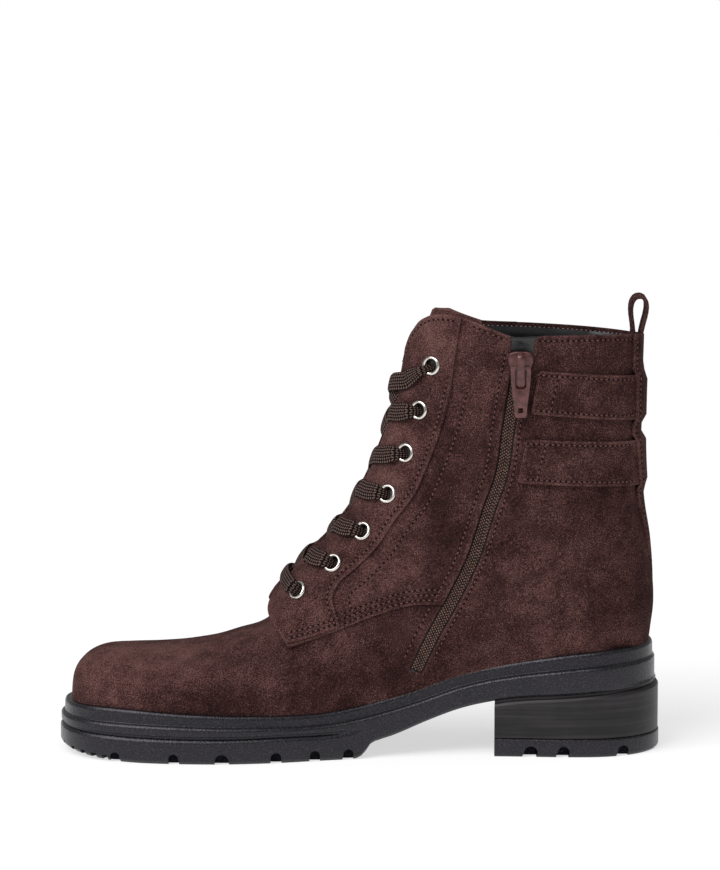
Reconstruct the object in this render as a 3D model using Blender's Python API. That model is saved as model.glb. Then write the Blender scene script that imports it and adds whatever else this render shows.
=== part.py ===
"""Right lace-up ankle boot with an inner side zip, modelled on its last.

The toe points to -X, the heel to +X, the inner (medial) side to -Y and +Z is up. The origin is on the floor
under the middle of the boot. Sizes below are in millimetres and become metres where a mesh is made.
"""

import math

import bmesh
import bpy
import numpy as np
from mathutils import Vector
from mathutils.bvhtree import BVHTree

MM = 0.001

# Driving dimensions
SOLE_LENGTH = 282.0
FIT_GAP = 0.3
UPPER_WALL = 2.2
QUARTER_STEP = 1.0
EYESTAY_THICK = 1.2
STRAP_THICK = 1.7
BACKSTAY_THICK = 1.3
TONGUE_THICK = 2.5
INSOLE_THICK = 3.0
FEATHER_LEDGE = 5.5
COLLAR_TILT = 0.036
COLLAR_HALF_WIDTH = 27.0
THROAT_HALF_GAP = 6.5
THROAT_DEPTH = 9.0
HEEL_BREAST_X = 62.4
TREAD_END_X = 3.0
TOP_LIFT_HEIGHT = 8.5
ZIP_HALF_WIDTH = 3.2
ZIP_DEPTH = 1.4
EYELET_RADIUS = 4.15
EYELET_HOLE_RADIUS = 2.3
EYELET_SIDES = 10
LACE_WIDTH = 7.0
LACE_THICK = 1.4
LACE_STEPS = 8
LACE_CLEAR = 1.0
LOOP_CENTRE = (129.8, 204.6)
LOOP_HALF_X = 4.7
LOOP_HALF_Z = 9.0
LOOP_THICK = 2.0
LOOP_WIDTH = 13.0
SLIDER_PLACE = (73.9, 184.3)
SLIDER_THICK = 2.4
BAIL_REACH = 3.4
BAIL_THICK = 1.1
BAIL_HALF_WIDTH = 1.2
TAB_LENGTH = 25.0
TAB_BAR = 0.7
TAB_AXIS_DROP = -1.4
TAB_HALF_TOP = 4.5
TAB_HALF_END = 2.4
TAB_SLOT_HALF = 2.2

# Edge of the outsole from above: x, distance of the medial and of the lateral edge from the centre line
PLAN = (
    (-141.0, 5.0, -5.0),
    (-136.0, 25.5, 14.5),
    (-127.0, 35.5, 25.5),
    (-114.0, 42.0, 34.5),
    (-98.0, 46.3, 41.3),
    (-80.0, 48.5, 46.5),
    (-60.0, 48.7, 50.0),
    (-38.0, 45.6, 51.5),
    (-16.0, 40.0, 50.0),
    (6.0, 34.8, 46.2),
    (28.0, 31.3, 42.2),
    (50.0, 30.2, 38.8),
    (74.0, 31.2, 36.4),
    (96.0, 32.8, 35.2),
    (114.0, 31.8, 32.6),
    (128.0, 25.5, 26.0),
    (137.0, 15.6, 15.8),
    (141.0, 0.0, 0.0),
)

# Heights of the sole's side lines along the boot: x, z
SOLE_TOP = ((-141, 24.2), (-125, 24.8), (-79, 23), (-53, 22), (-8, 22.9), (19, 29.2), (49, 39.4), (68, 43.4),
            (104, 48.7), (141, 51.0))
RIM_FOOT = ((-141, 18.4), (-100, 17.8), (-53, 16.8), (-8, 17.6), (24, 25), (49, 33.4), (95, 41), (141, 44.2))
WALL_GROOVE = ((-141, 13.6), (-100, 12.4), (-40, 12.4), (0, 14), (32, 23.4), (60, 31), (100, 35.4), (141, 38.6))
WAIST_UNDER = ((3, 7.6), (17, 12.6), (32, 18.6), (46, 23.6), (62, 27.3), (100, 30), (141, 32.8))
TOE_SPRING = ((-141, 3.6), (-128, 1.7), (-114, 0.4), (-102, 0.0), (3, 0.0))

# Sections of the last, from the toe up over the instep to the collar. Each spans from a point at its foot or
# back to a point at its top or front, both in the middle plane, with half-widths to each side. Where the
# half-widths are None they follow the sole's edge. foot is how far the lower end follows the sole's edge,
# widest where the section is widest, from back to front, and the powers how square its two ends are.
SECTION_COLUMNS = ("front_x", "front_z", "back_x", "back_z", "medial", "lateral", "foot", "widest",
                   "front_power", "back_power")
SECTIONS = (
    (-135.0, 32.0, -135.0, 19.0, None, None, 1.0, 0.50, 2.4, 7.0),
    (-133.8, 37.3, -133.8, 19.0, None, None, 1.0, 0.48, 2.4, 7.0),
    (-131.0, 41.9, -131.0, 19.0, None, None, 1.0, 0.46, 2.4, 7.0),
    (-126.0, 45.8, -126.0, 19.0, None, None, 1.0, 0.44, 2.4, 7.0),
    (-118.5, 48.2, -118.5, 19.0, None, None, 1.0, 0.42, 2.4, 7.0),
    (-107.0, 49.2, -107.0, 18.5, None, None, 1.0, 0.38, 2.3, 7.0),
    (-94.0, 49.6, -93.0, 18.0, None, None, 1.0, 0.34, 2.2, 7.0),
    (-80.0, 50.0, -77.0, 17.5, None, None, 1.0, 0.30, 2.1, 7.0),
    (-68.0, 51.2, -60.0, 17.0, None, None, 1.0, 0.28, 2.0, 7.0),
    (-57.0, 53.2, -43.0, 16.5, None, None, 1.0, 0.27, 1.95, 7.0),
    (-47.4, 56.0, -27.0, 16.5, 39.5, 45.0, 1.0, 0.28, 2.1, 7.0),
    (-41.0, 61.4, -11.0, 16.5, 36.5, 42.0, 1.0, 0.30, 2.35, 7.0),
    (-35.4, 71.4, 7.0, 18.0, 34.0, 39.5, 1.0, 0.33, 2.5, 7.0),
    (-26.4, 85.0, 26.0, 20.0, 32.5, 37.0, 1.0, 0.36, 2.6, 7.0),
    (-13.6, 99.0, 47.0, 26.0, 32.0, 35.0, 1.0, 0.40, 2.6, 7.0),
    (-4.0, 111.8, 69.0, 31.0, 32.5, 34.0, 1.0, 0.43, 2.5, 7.0),
    (2.4, 123.4, 92.0, 35.0, 33.0, 33.5, 1.0, 0.45, 2.45, 7.0),
    (7.4, 134.4, 114.0, 38.0, 33.0, 33.0, 1.0, 0.47, 2.4, 6.0),
    (11.5, 144.9, 127.0, 40.0, 33.0, 33.0, 0.3, 0.48, 2.4, 3.0),
    (14.9, 154.2, 134.4, 47.0, 32.8, 32.8, 0.0, 0.48, 2.4, 2.8),
    (17.8, 163.3, 136.9, 59.0, 32.5, 32.5, 0.0, 0.48, 2.4, 2.45),
    (19.9, 171.5, 138.0, 70.0, 32.0, 32.0, 0.0, 0.49, 2.4, 2.3),
    (21.4, 179.5, 137.2, 83.0, 31.5, 31.5, 0.0, 0.50, 2.4, 2.3),
    (22.7, 187.6, 134.6, 100.0, 31.0, 31.0, 0.0, 0.50, 2.4, 2.3),
    (23.8, 194.7, 131.6, 119.0, 30.0, 30.0, 0.0, 0.50, 2.4, 2.3),
    (24.8, 200.8, 130.2, 140.0, 29.0, 29.0, 0.0, 0.50, 2.4, 2.3),
    (25.8, 206.8, 130.2, 163.0, 28.0, 28.0, 0.0, 0.50, 2.4, 2.3),
    (26.8, 213.0, 130.8, 188.0, 27.3, 27.3, 0.0, 0.50, 2.4, 2.3),
    (27.6, 219.0, 131.5, 214.0, 27.0, 27.0, 0.0, 0.50, 2.4, 2.3),
)
THROAT_FIRST_SECTION = 10.7
# How far the facings stand off the last at the foot of the throat, and the tongue's top behind it: section, rise
FACING_LIFT = ((10.0, 4.0), (11.0, 4.0), (12.0, 3.4), (13.0, 1.2), (14.0, 0.3), (15.0, 0.0))
TONGUE_SET_BACK = ((21.0, 0.0), (22.0, -0.6), (24.0, -2.6), (26.0, -5.2), (28.0, -7.0))
SIDE_BULGE = 0.8
BACK_STEPS = 5
FRONT_STEPS = 7

# Lines on the side of the upper: x, z
COLLAR_LINE = ((10, 190), (21, 190), (22.8, 196), (25.2, 201), (29, 204), (35, 205.2), (44, 205), (54, 203.4),
               (69.5, 197.8), (81, 197), (106, 197), (124, 196.4), (150, 194.6))
ZIP_LINE = ((77.0, 202), (73.7, 184), (68.7, 156), (65, 132), (59.7, 117), (52.3, 94), (44, 76.5), (33.4, 56.7),
            (27.3, 42.6))
EYESTAY_REAR = ((50, 212), (48.8, 204), (42, 173.6), (37.5, 155), (31, 137), (25, 123.5), (15.7, 111), (6.8, 98),
                (-1.6, 89.6), (-10.8, 81), (-12.7, 77), (-11.4, 69), (-8.8, 63.4))
LOWER_SEAM = ((-33.6, 52.8), (-21, 56.6), (-8.8, 61), (4, 66), (15.8, 70), (24, 72), (33.4, 72.3))
FACING_TAB = ((-60, 96), (-44, 74), (-42.8, 70), (-41.4, 66.5))
TONGUE_TOP = ((0, 207.5), (36, 208.8), (60, 203), (60, 260), (0, 260))
EYELETS = ((32.8, 183), (27, 162.6), (20.6, 142.6), (12.3, 123.5), (0.7, 106), (-13.4, 91), (-29.8, 78))

# Straps on the side of the heel: name, front x, top and foot z there, back top and foot z
STRAPS = (
    ("strap_upper", 81.5, 181.2, 161.0, 175.0, 154.0),
    ("strap_lower", 75.0, 149.6, 129.4, 145.2, 124.0),
)
STRAP_BACK_X = 150.0

# Half-width of the backstay up the back seam: z, y
BACKSTAY_EDGE = ((70, 0.6), (82, 5), (98, 9), (120, 12), (150, 13), (196.2, 13))

# Notches cut into the tread: x, width, height, and how far they lean towards the heel
FOREFOOT_NOTCHES = ((-112.6, 4.4, 4.6, -1.0), (-85.7, 4.6, 4.8, -0.6), (-63.9, 6.4, 4.8, 0), (-38.9, 4.8, 5, 0),
                    (-21.3, 4.6, 5, 0.4), (-6, 4.6, 5, 0.6))
HEEL_NOTCHES = ((77.6, 6.4, 5.2, 2.0), (93.2, 5.6, 5.2, 1.6), (121.4, 5.0, 5.0, 1.4))
NOTCH_REACH = 17.0

# Materials: name, colour, roughness, metallic
SUEDE = ("brown_suede", "4a3330", 0.95, 0.0)
RUBBER = ("black_rubber", "151414", 0.55, 0.0)
STACK = ("stacked_heel", "241c1a", 0.5, 0.0)
LINING = ("black_leather", "171516", 0.5, 0.0)
LACE = ("woven_lace", "241a19", 0.8, 0.0)
NICKEL = ("pale_nickel", "c9c2b4", 0.25, 1.0)
ZIP_METAL = ("brown_lacquered_metal", "4b3531", 0.35, 0.6)


def clear_scene():
    for old in list(bpy.data.objects):
        bpy.data.objects.remove(old)


def smooth(xs, ys, at):
    """A smooth curve through the points (xs, ys), read at the places given."""
    xs = np.asarray(xs, float)
    ys = np.asarray(ys, float)
    at = np.asarray(at, float)
    slope = np.gradient(ys, xs, axis=0)
    i = np.clip(np.searchsorted(xs, at) - 1, 0, len(xs) - 2)
    step = xs[i + 1] - xs[i]
    t = (at - xs[i]) / step
    if ys.ndim > 1:
        t = t[..., None]
        step = step[..., None]
    return (
        (2 * t**3 - 3 * t**2 + 1) * ys[i]
        + (t**3 - 2 * t**2 + t) * step * slope[i]
        + (3 * t**2 - 2 * t**3) * ys[i + 1]
        + (t**3 - t**2) * step * slope[i + 1]
    )


def line_height(line, x):
    rows = np.array(line, float)
    return smooth(rows[:, 0], rows[:, 1], np.clip(x, rows[0, 0], rows[-1, 0]))


def raised(line, by):
    """The height of a line at x, moved up."""
    return lambda x: line_height(line, x) + by


def fade(low, high, x):
    t = np.clip((np.asarray(x, float) - low) / (high - low), 0, 1)
    return t * t * (3 - 2 * t)


def material(finish):
    name, colour, roughness, metallic = finish
    found = bpy.data.materials.get(name)
    if found:
        return found
    made = bpy.data.materials.new(name)
    made.use_nodes = True
    shader = made.node_tree.nodes["Principled BSDF"]
    parts = [int(colour[i : i + 2], 16) / 255 for i in (0, 2, 4)]
    linear = [((c + 0.055) / 1.055) ** 2.4 if c > 0.04045 else c / 12.92 for c in parts]
    shader.inputs["Base Color"].default_value = (*linear, 1)
    shader.inputs["Roughness"].default_value = roughness
    shader.inputs["Metallic"].default_value = metallic
    return made


def solid(name, points, faces, finish=None):
    """A closed mesh object from points in millimetres."""
    bm = bmesh.new()
    made = [bm.verts.new(Vector(p) * MM) for p in points]
    for face in faces:
        bm.faces.new([made[i] for i in face])
    bmesh.ops.remove_doubles(bm, verts=bm.verts, dist=1e-7)
    bmesh.ops.recalc_face_normals(bm, faces=bm.faces)
    mesh = bpy.data.meshes.new(name)
    bm.to_mesh(mesh)
    bm.free()
    obj = bpy.data.objects.new(name, mesh)
    bpy.context.scene.collection.objects.link(obj)
    if finish:
        mesh.materials.append(material(finish))
    return obj


def combine(obj, operation, *others):
    """The object after a Boolean with each of the others, which are used up."""
    for other in others:
        modifier = obj.modifiers.new("Boolean", "BOOLEAN")
        modifier.operation = operation
        modifier.solver = "EXACT"
        modifier.object = other
        graph = bpy.context.evaluated_depsgraph_get()
        mesh = bpy.data.meshes.new_from_object(obj.evaluated_get(graph))
        obj.modifiers.clear()
        obj.data = mesh
        bpy.data.objects.remove(other)
    return obj


def finished(obj, name, finish, angle=40):
    obj.name = name
    obj.data.name = name
    obj.data.materials.clear()
    obj.data.materials.append(material(finish))
    obj.data.shade_smooth()
    obj.data.set_sharp_from_angle(angle=math.radians(angle))
    return obj


def side_prism(outline, low_y, high_y):
    """The outline in x and z, run across from low_y to high_y."""
    count = len(outline)
    points = [(x, y, z) for y in (low_y, high_y) for x, z in outline]
    faces = [tuple(range(count)), tuple(range(2 * count - 1, count - 1, -1))]
    for i in range(count):
        j = (i + 1) % count
        faces.append((i, count + i, count + j, j))
    return solid("prism", points, faces)


def back_prism(outline, low_x, high_x):
    """The outline in y and z, run along from low_x to high_x."""
    count = len(outline)
    points = [(x, y, z) for x in (low_x, high_x) for y, z in outline]
    faces = [tuple(range(count)), tuple(range(2 * count - 1, count - 1, -1))]
    for i in range(count):
        j = (i + 1) % count
        faces.append((i, count + i, count + j, j))
    return solid("prism", points, faces)


def band(line, half_width):
    """Outline of a band of even width along a line in x and z."""
    rows = np.array(line, float)
    along = np.gradient(rows, axis=0)
    along /= np.linalg.norm(along, axis=1)[:, None]
    across = np.stack([-along[:, 1], along[:, 0]], axis=1) * half_width
    return [tuple(p) for p in np.concatenate([rows + across, (rows - across)[::-1]])]


def plan_ring(phis, inset):
    """Medial and lateral edge points of the sole's outline, moved inwards by inset."""
    rows = np.array(PLAN, float)
    half = SOLE_LENGTH / 2
    table_phi = np.arccos(np.clip(-rows[:, 0] / half, -1, 1))

    def edges(phi):
        phi = np.asarray(phi, float)
        reach = smooth(table_phi, rows[:, 1:], np.clip(phi, 0, math.pi))
        x = -half * np.cos(phi)
        return np.stack([x, -reach[:, 0]], 1), np.stack([x, reach[:, 1]], 1)

    small = 1e-3
    ahead = edges(np.minimum(phis + small, math.pi))
    behind = edges(np.maximum(phis - small, 0))
    rings = []
    for side, edge in enumerate(edges(phis)):
        along = ahead[side] - behind[side]
        along /= np.linalg.norm(along, axis=1)[:, None]
        turn = 1 if side == 0 else -1
        normal = np.stack([along[:, 1], -along[:, 0]], 1) * turn
        normal[phis <= 1e-9] = (-1, 0)
        normal[phis >= math.pi - 1e-9] = (1, 0)
        rings.append(edge - normal * np.reshape(inset, (-1, 1)))
    return rings


def stations(low_x, high_x, count, extra=()):
    half = SOLE_LENGTH / 2
    low = math.acos(np.clip(-low_x / half, -1, 1))
    high = math.acos(np.clip(-high_x / half, -1, 1))
    return np.array(sorted([*np.linspace(low, high, count), *(math.acos(-x / half) for x in extra)]))


def full_length_stations():
    edge = 0.4
    return stations(-SOLE_LENGTH / 2, SOLE_LENGTH / 2, 29, (TREAD_END_X - edge, TREAD_END_X + edge))


def sole_loft(name, phis, levels, finish):
    """A solid through rings of the sole's outline. A level gives an inset, and a height at each station or at x."""
    count = len(phis)
    points = []
    for inset, height in levels:
        medial, lateral = plan_ring(phis, inset * np.ones(count))
        for edge, order in ((medial, 1), (lateral, -1)):
            z = height(edge[:, 0]) if callable(height) else height * np.ones(count)
            points += [(x, y, h) for (x, y), h in zip(edge[::order], z[::order])]
    ring = 2 * count
    faces = []
    for level in range(len(levels) - 1):
        for i in range(ring):
            j = (i + 1) % ring
            a, b = level * ring, (level + 1) * ring
            faces.append((a + i, a + j, b + j, b + i))
    top = (len(levels) - 1) * ring
    for i in range(count - 1):
        quad = (i, i + 1, ring - 2 - i, ring - 1 - i)
        faces.append(tuple(top + k for k in quad))
        faces.append(quad[::-1])
    obj = solid_without_flat_faces(name, points, faces)
    return finished(obj, name, finish)


def solid_without_flat_faces(name, points, faces):
    """Like solid, where rings meet at a point and some corners of a face may coincide."""
    keys = {}
    index = []
    kept = []
    for point in points:
        key = tuple(round(float(c), 5) for c in point)
        if key not in keys:
            keys[key] = len(kept)
            kept.append(point)
        index.append(keys[key])
    whole = []
    for face in faces:
        corners = list(dict.fromkeys(index[i] for i in face))
        if len(corners) > 2:
            whole.append(tuple(corners))
    return solid(name, kept, whole)


def upper_edge(x):
    """Half-widths of the upper where it meets the sole."""
    phis = np.linspace(0, math.pi, 400)
    medial, lateral = plan_ring(phis, FEATHER_LEDGE * np.ones(400))
    return np.interp(x, medial[:, 0], -medial[:, 1]), np.interp(x, lateral[:, 0], lateral[:, 1])


def section_table():
    """The section rows as numbers, with the sole's edge filled in: the last two columns are the foot's edge."""
    rows = []
    for row in SECTIONS:
        named = dict(zip(SECTION_COLUMNS, row))
        share = np.linspace(0, 0.5, 51)
        x = named["back_x"] + (named["front_x"] - named["back_x"]) * share
        z = named["back_z"] + (named["front_z"] - named["back_z"]) * share
        crossing = x[np.argmax(z > line_height(SOLE_TOP, x))]
        edge_medial, edge_lateral = upper_edge(crossing)
        if named["medial"] is None:
            named["medial"] = edge_medial + SIDE_BULGE
            named["lateral"] = edge_lateral + SIDE_BULGE
        rows.append([*(named[c] for c in SECTION_COLUMNS), edge_medial, edge_lateral])
    return np.array(rows, float)


def last_grid(places):
    """Points of the last's surface: a ring for each place along the section table."""
    table = section_table()
    values = smooth(np.arange(len(table)), table, places)
    back = np.linspace(0, math.pi / 2, BACK_STEPS + 1)[:-1]
    front = np.linspace(0, math.pi / 2, FRONT_STEPS + 1)
    rings = []
    for row in values:
        named = dict(zip(SECTION_COLUMNS, row))
        widest = named["widest"]
        t = np.concatenate([widest * (1 - np.cos(back)), widest + (1 - widest) * np.sin(front)])
        below = np.clip(1 - t / widest, 0, 1)
        above = np.clip((t - widest) / (1 - widest), 0, 1)
        shape = np.where(
            t < widest,
            (1 - below ** named["back_power"]) ** (1 / named["back_power"]),
            (1 - above ** named["front_power"]) ** (1 / named["front_power"]),
        )
        rise = np.sin(math.pi / 2 * np.clip(t / widest, 0, 1))
        edges = []
        for full, edge in ((named["medial"], row[-2]), (named["lateral"], row[-1])):
            low = full + (edge - full) * named["foot"]
            edges.append(low + (full - low) * rise)
        middle = (edges[1] - edges[0]) / 2 * (1 - fade(0, 1, above))
        half = (edges[1] + edges[0]) / 2 * shape
        x = named["back_x"] + (named["front_x"] - named["back_x"]) * t
        z = named["back_z"] + (named["front_z"] - named["back_z"]) * t
        medial = np.stack([x, middle - half, z], 1)
        lateral = np.stack([x, middle + half, z], 1)
        rings.append(np.concatenate([medial, lateral[-2:0:-1]]))
    return np.array(rings)


def last_places():
    return np.arange(len(SECTIONS), dtype=float)


def front_rise(lift, places, count):
    """Extra rise at each point of the grid, over its front half only, from a table of section and rise."""
    rows = np.array(lift)
    rise = np.where(places < rows[0, 0], 0, np.interp(places, rows[:, 0], rows[:, 1]))
    turn = np.arange(count) / count * math.tau
    return rise[:, None] * fade(0.1, 0.95, -np.cos(turn))[None, :]


def last_form(offset, name="form", lift=None):
    """The closed form of the last, grown outwards by offset, and at its front by a table of lift."""
    grid = last_grid(last_places())
    along = np.gradient(grid, axis=0)
    around = (np.roll(grid, -1, axis=1) - np.roll(grid, 1, axis=1)) / 2
    normal = np.cross(around, along)
    normal /= np.linalg.norm(normal, axis=2)[:, :, None]
    centre = grid.mean(axis=1, keepdims=True)
    if ((grid - centre) * normal).sum() < 0:
        normal = -normal
    rings, count, _ = grid.shape
    rise = front_rise(lift, last_places(), count) if lift else np.zeros((rings, count))
    grid = grid + normal * (offset + rise)[:, :, None]
    grid[-1, :, 2] += offset
    points = [tuple(p) for p in grid.reshape(-1, 3)]
    faces = []
    for r in range(rings - 1):
        for i in range(count):
            j = (i + 1) % count
            low, high = r * count, (r + 1) * count
            faces.append((low + i, low + j, high + j))
            faces.append((low + i, high + j, high + i))
    for ring in (0, rings - 1):
        base = ring * count
        for i in range(count // 2):
            quad = (base + i, base + i + 1, base + (count - i - 1) % count, base + (count - i) % count)
            corners = tuple(dict.fromkeys(quad))
            if len(corners) > 2:
                faces.append(corners)
    return solid(name, points, faces)


class Surface:
    """The last's surface as seen straight from one side, for placing small pieces on it."""

    def __init__(self, offset, lift=None):
        form = last_form(offset, lift=lift)
        mesh = form.data
        points = [v.co / MM for v in mesh.vertices]
        self.tree = BVHTree.FromPolygons(points, [tuple(p.vertices) for p in mesh.polygons])
        bpy.data.objects.remove(form)

    def at(self, x, z, side):
        start = Vector((x, 300 * side, z))
        place, normal, _, _ = self.tree.ray_cast(start, Vector((0, -side, 0)))
        return place, normal

    def front_at(self, y, x, z, along):
        """The surface met by coming straight at the throat, against the direction along."""
        start = Vector((x, y, z)) + along * 80
        place, normal, _, _ = self.tree.ray_cast(start, -along)
        return place, normal


def front_line(places):
    """The middle line over the front of the last, with its outward direction."""
    table = section_table()
    values = smooth(np.arange(len(table)), table, places)[:, :2]
    along = np.gradient(values, axis=0)
    along /= np.linalg.norm(along, axis=1)[:, None]
    return values, np.stack([-along[:, 1], along[:, 0]], 1)


def throat_cutter(half_gap, depth, first=THROAT_FIRST_SECTION):
    line, out = front_line(np.linspace(first, len(SECTIONS) - 1, 14))
    inner = line - out * depth
    outline = [tuple(line[0] + out[0] * 40), (-150, 300), (inner[-1, 0], 300), *map(tuple, inner[::-1])]
    return side_prism(outline, -half_gap, half_gap)


def below_sole(clearance):
    xs = np.linspace(-150, 150, 41)
    outline = [(x, float(line_height(SOLE_TOP, x)) + clearance) for x in xs]
    return side_prism([*outline, (150, -40), (-150, -40)], -90, 90)


def above_collar():
    """Everything above the collar, whose line is a little lower on the lateral side."""
    cutter = side_prism([*COLLAR_LINE, (150, 260), (10, 260)], -90, 90)
    for vertex in cutter.data.vertices:
        vertex.co.z -= COLLAR_TILT * (vertex.co.y + COLLAR_HALF_WIDTH * MM)
    return cutter


def zip_notch():
    return side_prism([(69.2, 198.5), (72.2, 190.2), (77.6, 190.2), (81.4, 198.2), (83, 230), (66, 230)], -90, 0)


SIDES = ((-1, "medial"), (1, "lateral"))


def half_space(side):
    return (-90, 0) if side < 0 else (0, 90)


def quarter_outline():
    zip_front = [(x, z) for x, z in ZIP_LINE if z > 74]
    return [*FACING_TAB[::-1], (10, 240), (77, 240), *zip_front, *LOWER_SEAM[::-1]]


def eyestay_outline():
    foot = [(x, z + 1.2) for x, z in LOWER_SEAM if x < -8]
    return [*FACING_TAB[::-1], (10, 240), (50, 240), *EYESTAY_REAR, *foot[::-1]]


def overlay(outline, side, low, high, lift=None):
    """A piece of even thickness on the last, cut out along an outline seen from the side."""
    piece = combine(side_prism(outline, *half_space(side)), "INTERSECT", last_form(high, lift=lift))
    return combine(piece, "DIFFERENCE", last_form(low, lift=lift))


def make_upper():
    upper = last_form(0, "upper")
    for side in (-1, 1):
        step = side_prism(quarter_outline(), *half_space(side))
        combine(upper, "UNION", combine(step, "INTERSECT", last_form(QUARTER_STEP, lift=FACING_LIFT)))
    groove = overlay(band(ZIP_LINE, ZIP_HALF_WIDTH + FIT_GAP), -1, -ZIP_DEPTH, 3)
    combine(
        upper,
        "DIFFERENCE",
        last_form(-UPPER_WALL),
        below_sole(FIT_GAP),
        above_collar(),
        throat_cutter(THROAT_HALF_GAP, THROAT_DEPTH),
        zip_notch(),
        groove,
    )
    return finished(upper, "upper", SUEDE)


def make_tongue():
    low = UPPER_WALL + FIT_GAP
    tongue = throat_cutter(21, 12, THROAT_FIRST_SECTION - 1.5)
    combine(tongue, "INTERSECT", last_form(-low, lift=TONGUE_SET_BACK))
    top = side_prism(TONGUE_TOP, -90, 90)
    combine(tongue, "DIFFERENCE", last_form(-low - TONGUE_THICK, lift=TONGUE_SET_BACK), top)
    return finished(tongue, "tongue", SUEDE)


def notch_cutters(rows, inner_inset):
    """Arch-topped bars that cut the edge of the tread on both sides."""
    bars = []
    half = SOLE_LENGTH / 2
    for x, width, height, lean in rows:
        phi = np.array([math.acos(-x / half)])
        for side, edge in enumerate(plan_ring(phi, np.array([inner_inset]))):
            inner_y = float(edge[0, 1])
            outer_y = inner_y + (-40 if side == 0 else 40)
            arch = np.linspace(0, math.pi, 5)
            top = [(x + lean + width / 2 * math.cos(a), height - width / 2 + width / 2 * math.sin(a)) for a in arch]
            outline = [(x - width / 2, -3), (x + width / 2, -3), *top]
            bars.append(side_prism(outline, *sorted((inner_y, outer_y))))
    return bars


def make_outsole():
    phis = full_length_stations()
    x = -SOLE_LENGTH / 2 * np.cos(phis)
    under = np.where(x < TREAD_END_X, np.maximum(line_height(TOE_SPRING, x), 0), line_height(WAIST_UNDER, x))
    depth = 1.4 * (1 - fade(-18, 2, x))
    levels = [
        (1.6, under),
        (0.0, under + 1.6),
        (0.0, raised(WALL_GROOVE, -0.5)),
        (depth, raised(WALL_GROOVE, -0.3)),
        (depth, raised(WALL_GROOVE, 0.5)),
        (0.3, raised(WALL_GROOVE, 0.8)),
        (0.5, raised(RIM_FOOT, 0.0)),
        (2.2, raised(RIM_FOOT, 0.5)),
        (2.5, raised(SOLE_TOP, -1.0)),
        (3.3, raised(SOLE_TOP, 0.0)),
    ]
    outsole = sole_loft("outsole", phis, levels, RUBBER)
    combine(outsole, "DIFFERENCE", *notch_cutters(FOREFOOT_NOTCHES, NOTCH_REACH))
    return finished(outsole, "outsole", RUBBER)


def make_heel():
    phis = stations(HEEL_BREAST_X, SOLE_LENGTH / 2, 12)
    block = [(0.6, TOP_LIFT_HEIGHT + FIT_GAP), (1.2, raised(WAIST_UNDER, -FIT_GAP))]
    sole_loft("heel_block", phis, block, STACK)
    lift = [(1.0, 0.0), (0.0, 1.2), (0.0, TOP_LIFT_HEIGHT - 0.3), (0.3, TOP_LIFT_HEIGHT)]
    lift = sole_loft("heel_top_lift", phis, lift, RUBBER)
    combine(lift, "DIFFERENCE", *notch_cutters(HEEL_NOTCHES, 12))
    finished(lift, "heel_top_lift", RUBBER)


def make_insole():
    levels = [(FEATHER_LEDGE, raised(SOLE_TOP, FIT_GAP)), (FEATHER_LEDGE, raised(SOLE_TOP, FIT_GAP + INSOLE_THICK))]
    insole = sole_loft("insole", full_length_stations(), levels, LINING)
    combine(insole, "INTERSECT", last_form(-UPPER_WALL - FIT_GAP))
    finished(insole, "insole", LINING)


def make_eyestays():
    low = QUARTER_STEP + FIT_GAP
    for side, label in SIDES:
        piece = overlay(eyestay_outline(), side, low, low + EYESTAY_THICK, lift=FACING_LIFT)
        combine(piece, "DIFFERENCE", above_collar(), throat_cutter(THROAT_HALF_GAP, THROAT_DEPTH))
        finished(piece, f"eyestay_{label}", SUEDE)


def strap_outline(row, grow=0.0):
    _, front_x, top, foot, back_top, back_foot = row
    return [
        (front_x - grow, foot - grow),
        (STRAP_BACK_X, back_foot - grow),
        (STRAP_BACK_X, back_top + grow),
        (front_x - grow, top + grow),
    ]


def backstay_prism(grow):
    edge = [(y + grow, z) for z, y in BACKSTAY_EDGE]
    return back_prism([*edge, *((-y, z) for y, z in reversed(edge))], 90, 170)


def make_backstay():
    """The strip up the back seam, lifted where it runs over the straps."""
    outside = last_form(FIT_GAP + BACKSTAY_THICK)
    for row in STRAPS:
        lift = combine(
            side_prism(strap_outline(row, STRAP_THICK), -90, 90),
            "INTERSECT",
            last_form(FIT_GAP + STRAP_THICK + BACKSTAY_THICK),
        )
        combine(outside, "UNION", lift)
    piece = combine(backstay_prism(0), "INTERSECT", outside)
    combine(piece, "DIFFERENCE", last_form(FIT_GAP), above_collar())
    finished(piece, "backstay", SUEDE)


def make_straps():
    for row in STRAPS:
        for side, label in SIDES:
            piece = overlay(strap_outline(row), side, FIT_GAP, FIT_GAP + STRAP_THICK)
            combine(piece, "DIFFERENCE", backstay_prism(FIT_GAP))
            finished(piece, f"{row[0]}_{label}", SUEDE)


def oval(centre, half_x, half_z, count=16):
    turns = [math.tau * i / count for i in range(count)]
    return [(centre[0] + half_x * math.cos(a), centre[1] + half_z * math.sin(a)) for a in turns]


def make_pull_loop():
    half_wide = LOOP_WIDTH / 2
    loop = side_prism(oval(LOOP_CENTRE, LOOP_HALF_X, LOOP_HALF_Z), -half_wide, half_wide)
    hole = oval(LOOP_CENTRE, LOOP_HALF_X - LOOP_THICK, LOOP_HALF_Z - LOOP_THICK)
    combine(loop, "DIFFERENCE", side_prism(hole, -half_wide - 1, half_wide + 1))
    finished(loop, "pull_loop", SUEDE)


def make_zip_chain():
    line = [(74.7, 189.4), *ZIP_LINE[1:-1], (27.7, 43.2)]
    chain = overlay(band(line, ZIP_HALF_WIDTH), -1, FIT_GAP - ZIP_DEPTH, -FIT_GAP)
    finished(chain, "zip_chain", LACE)


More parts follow.
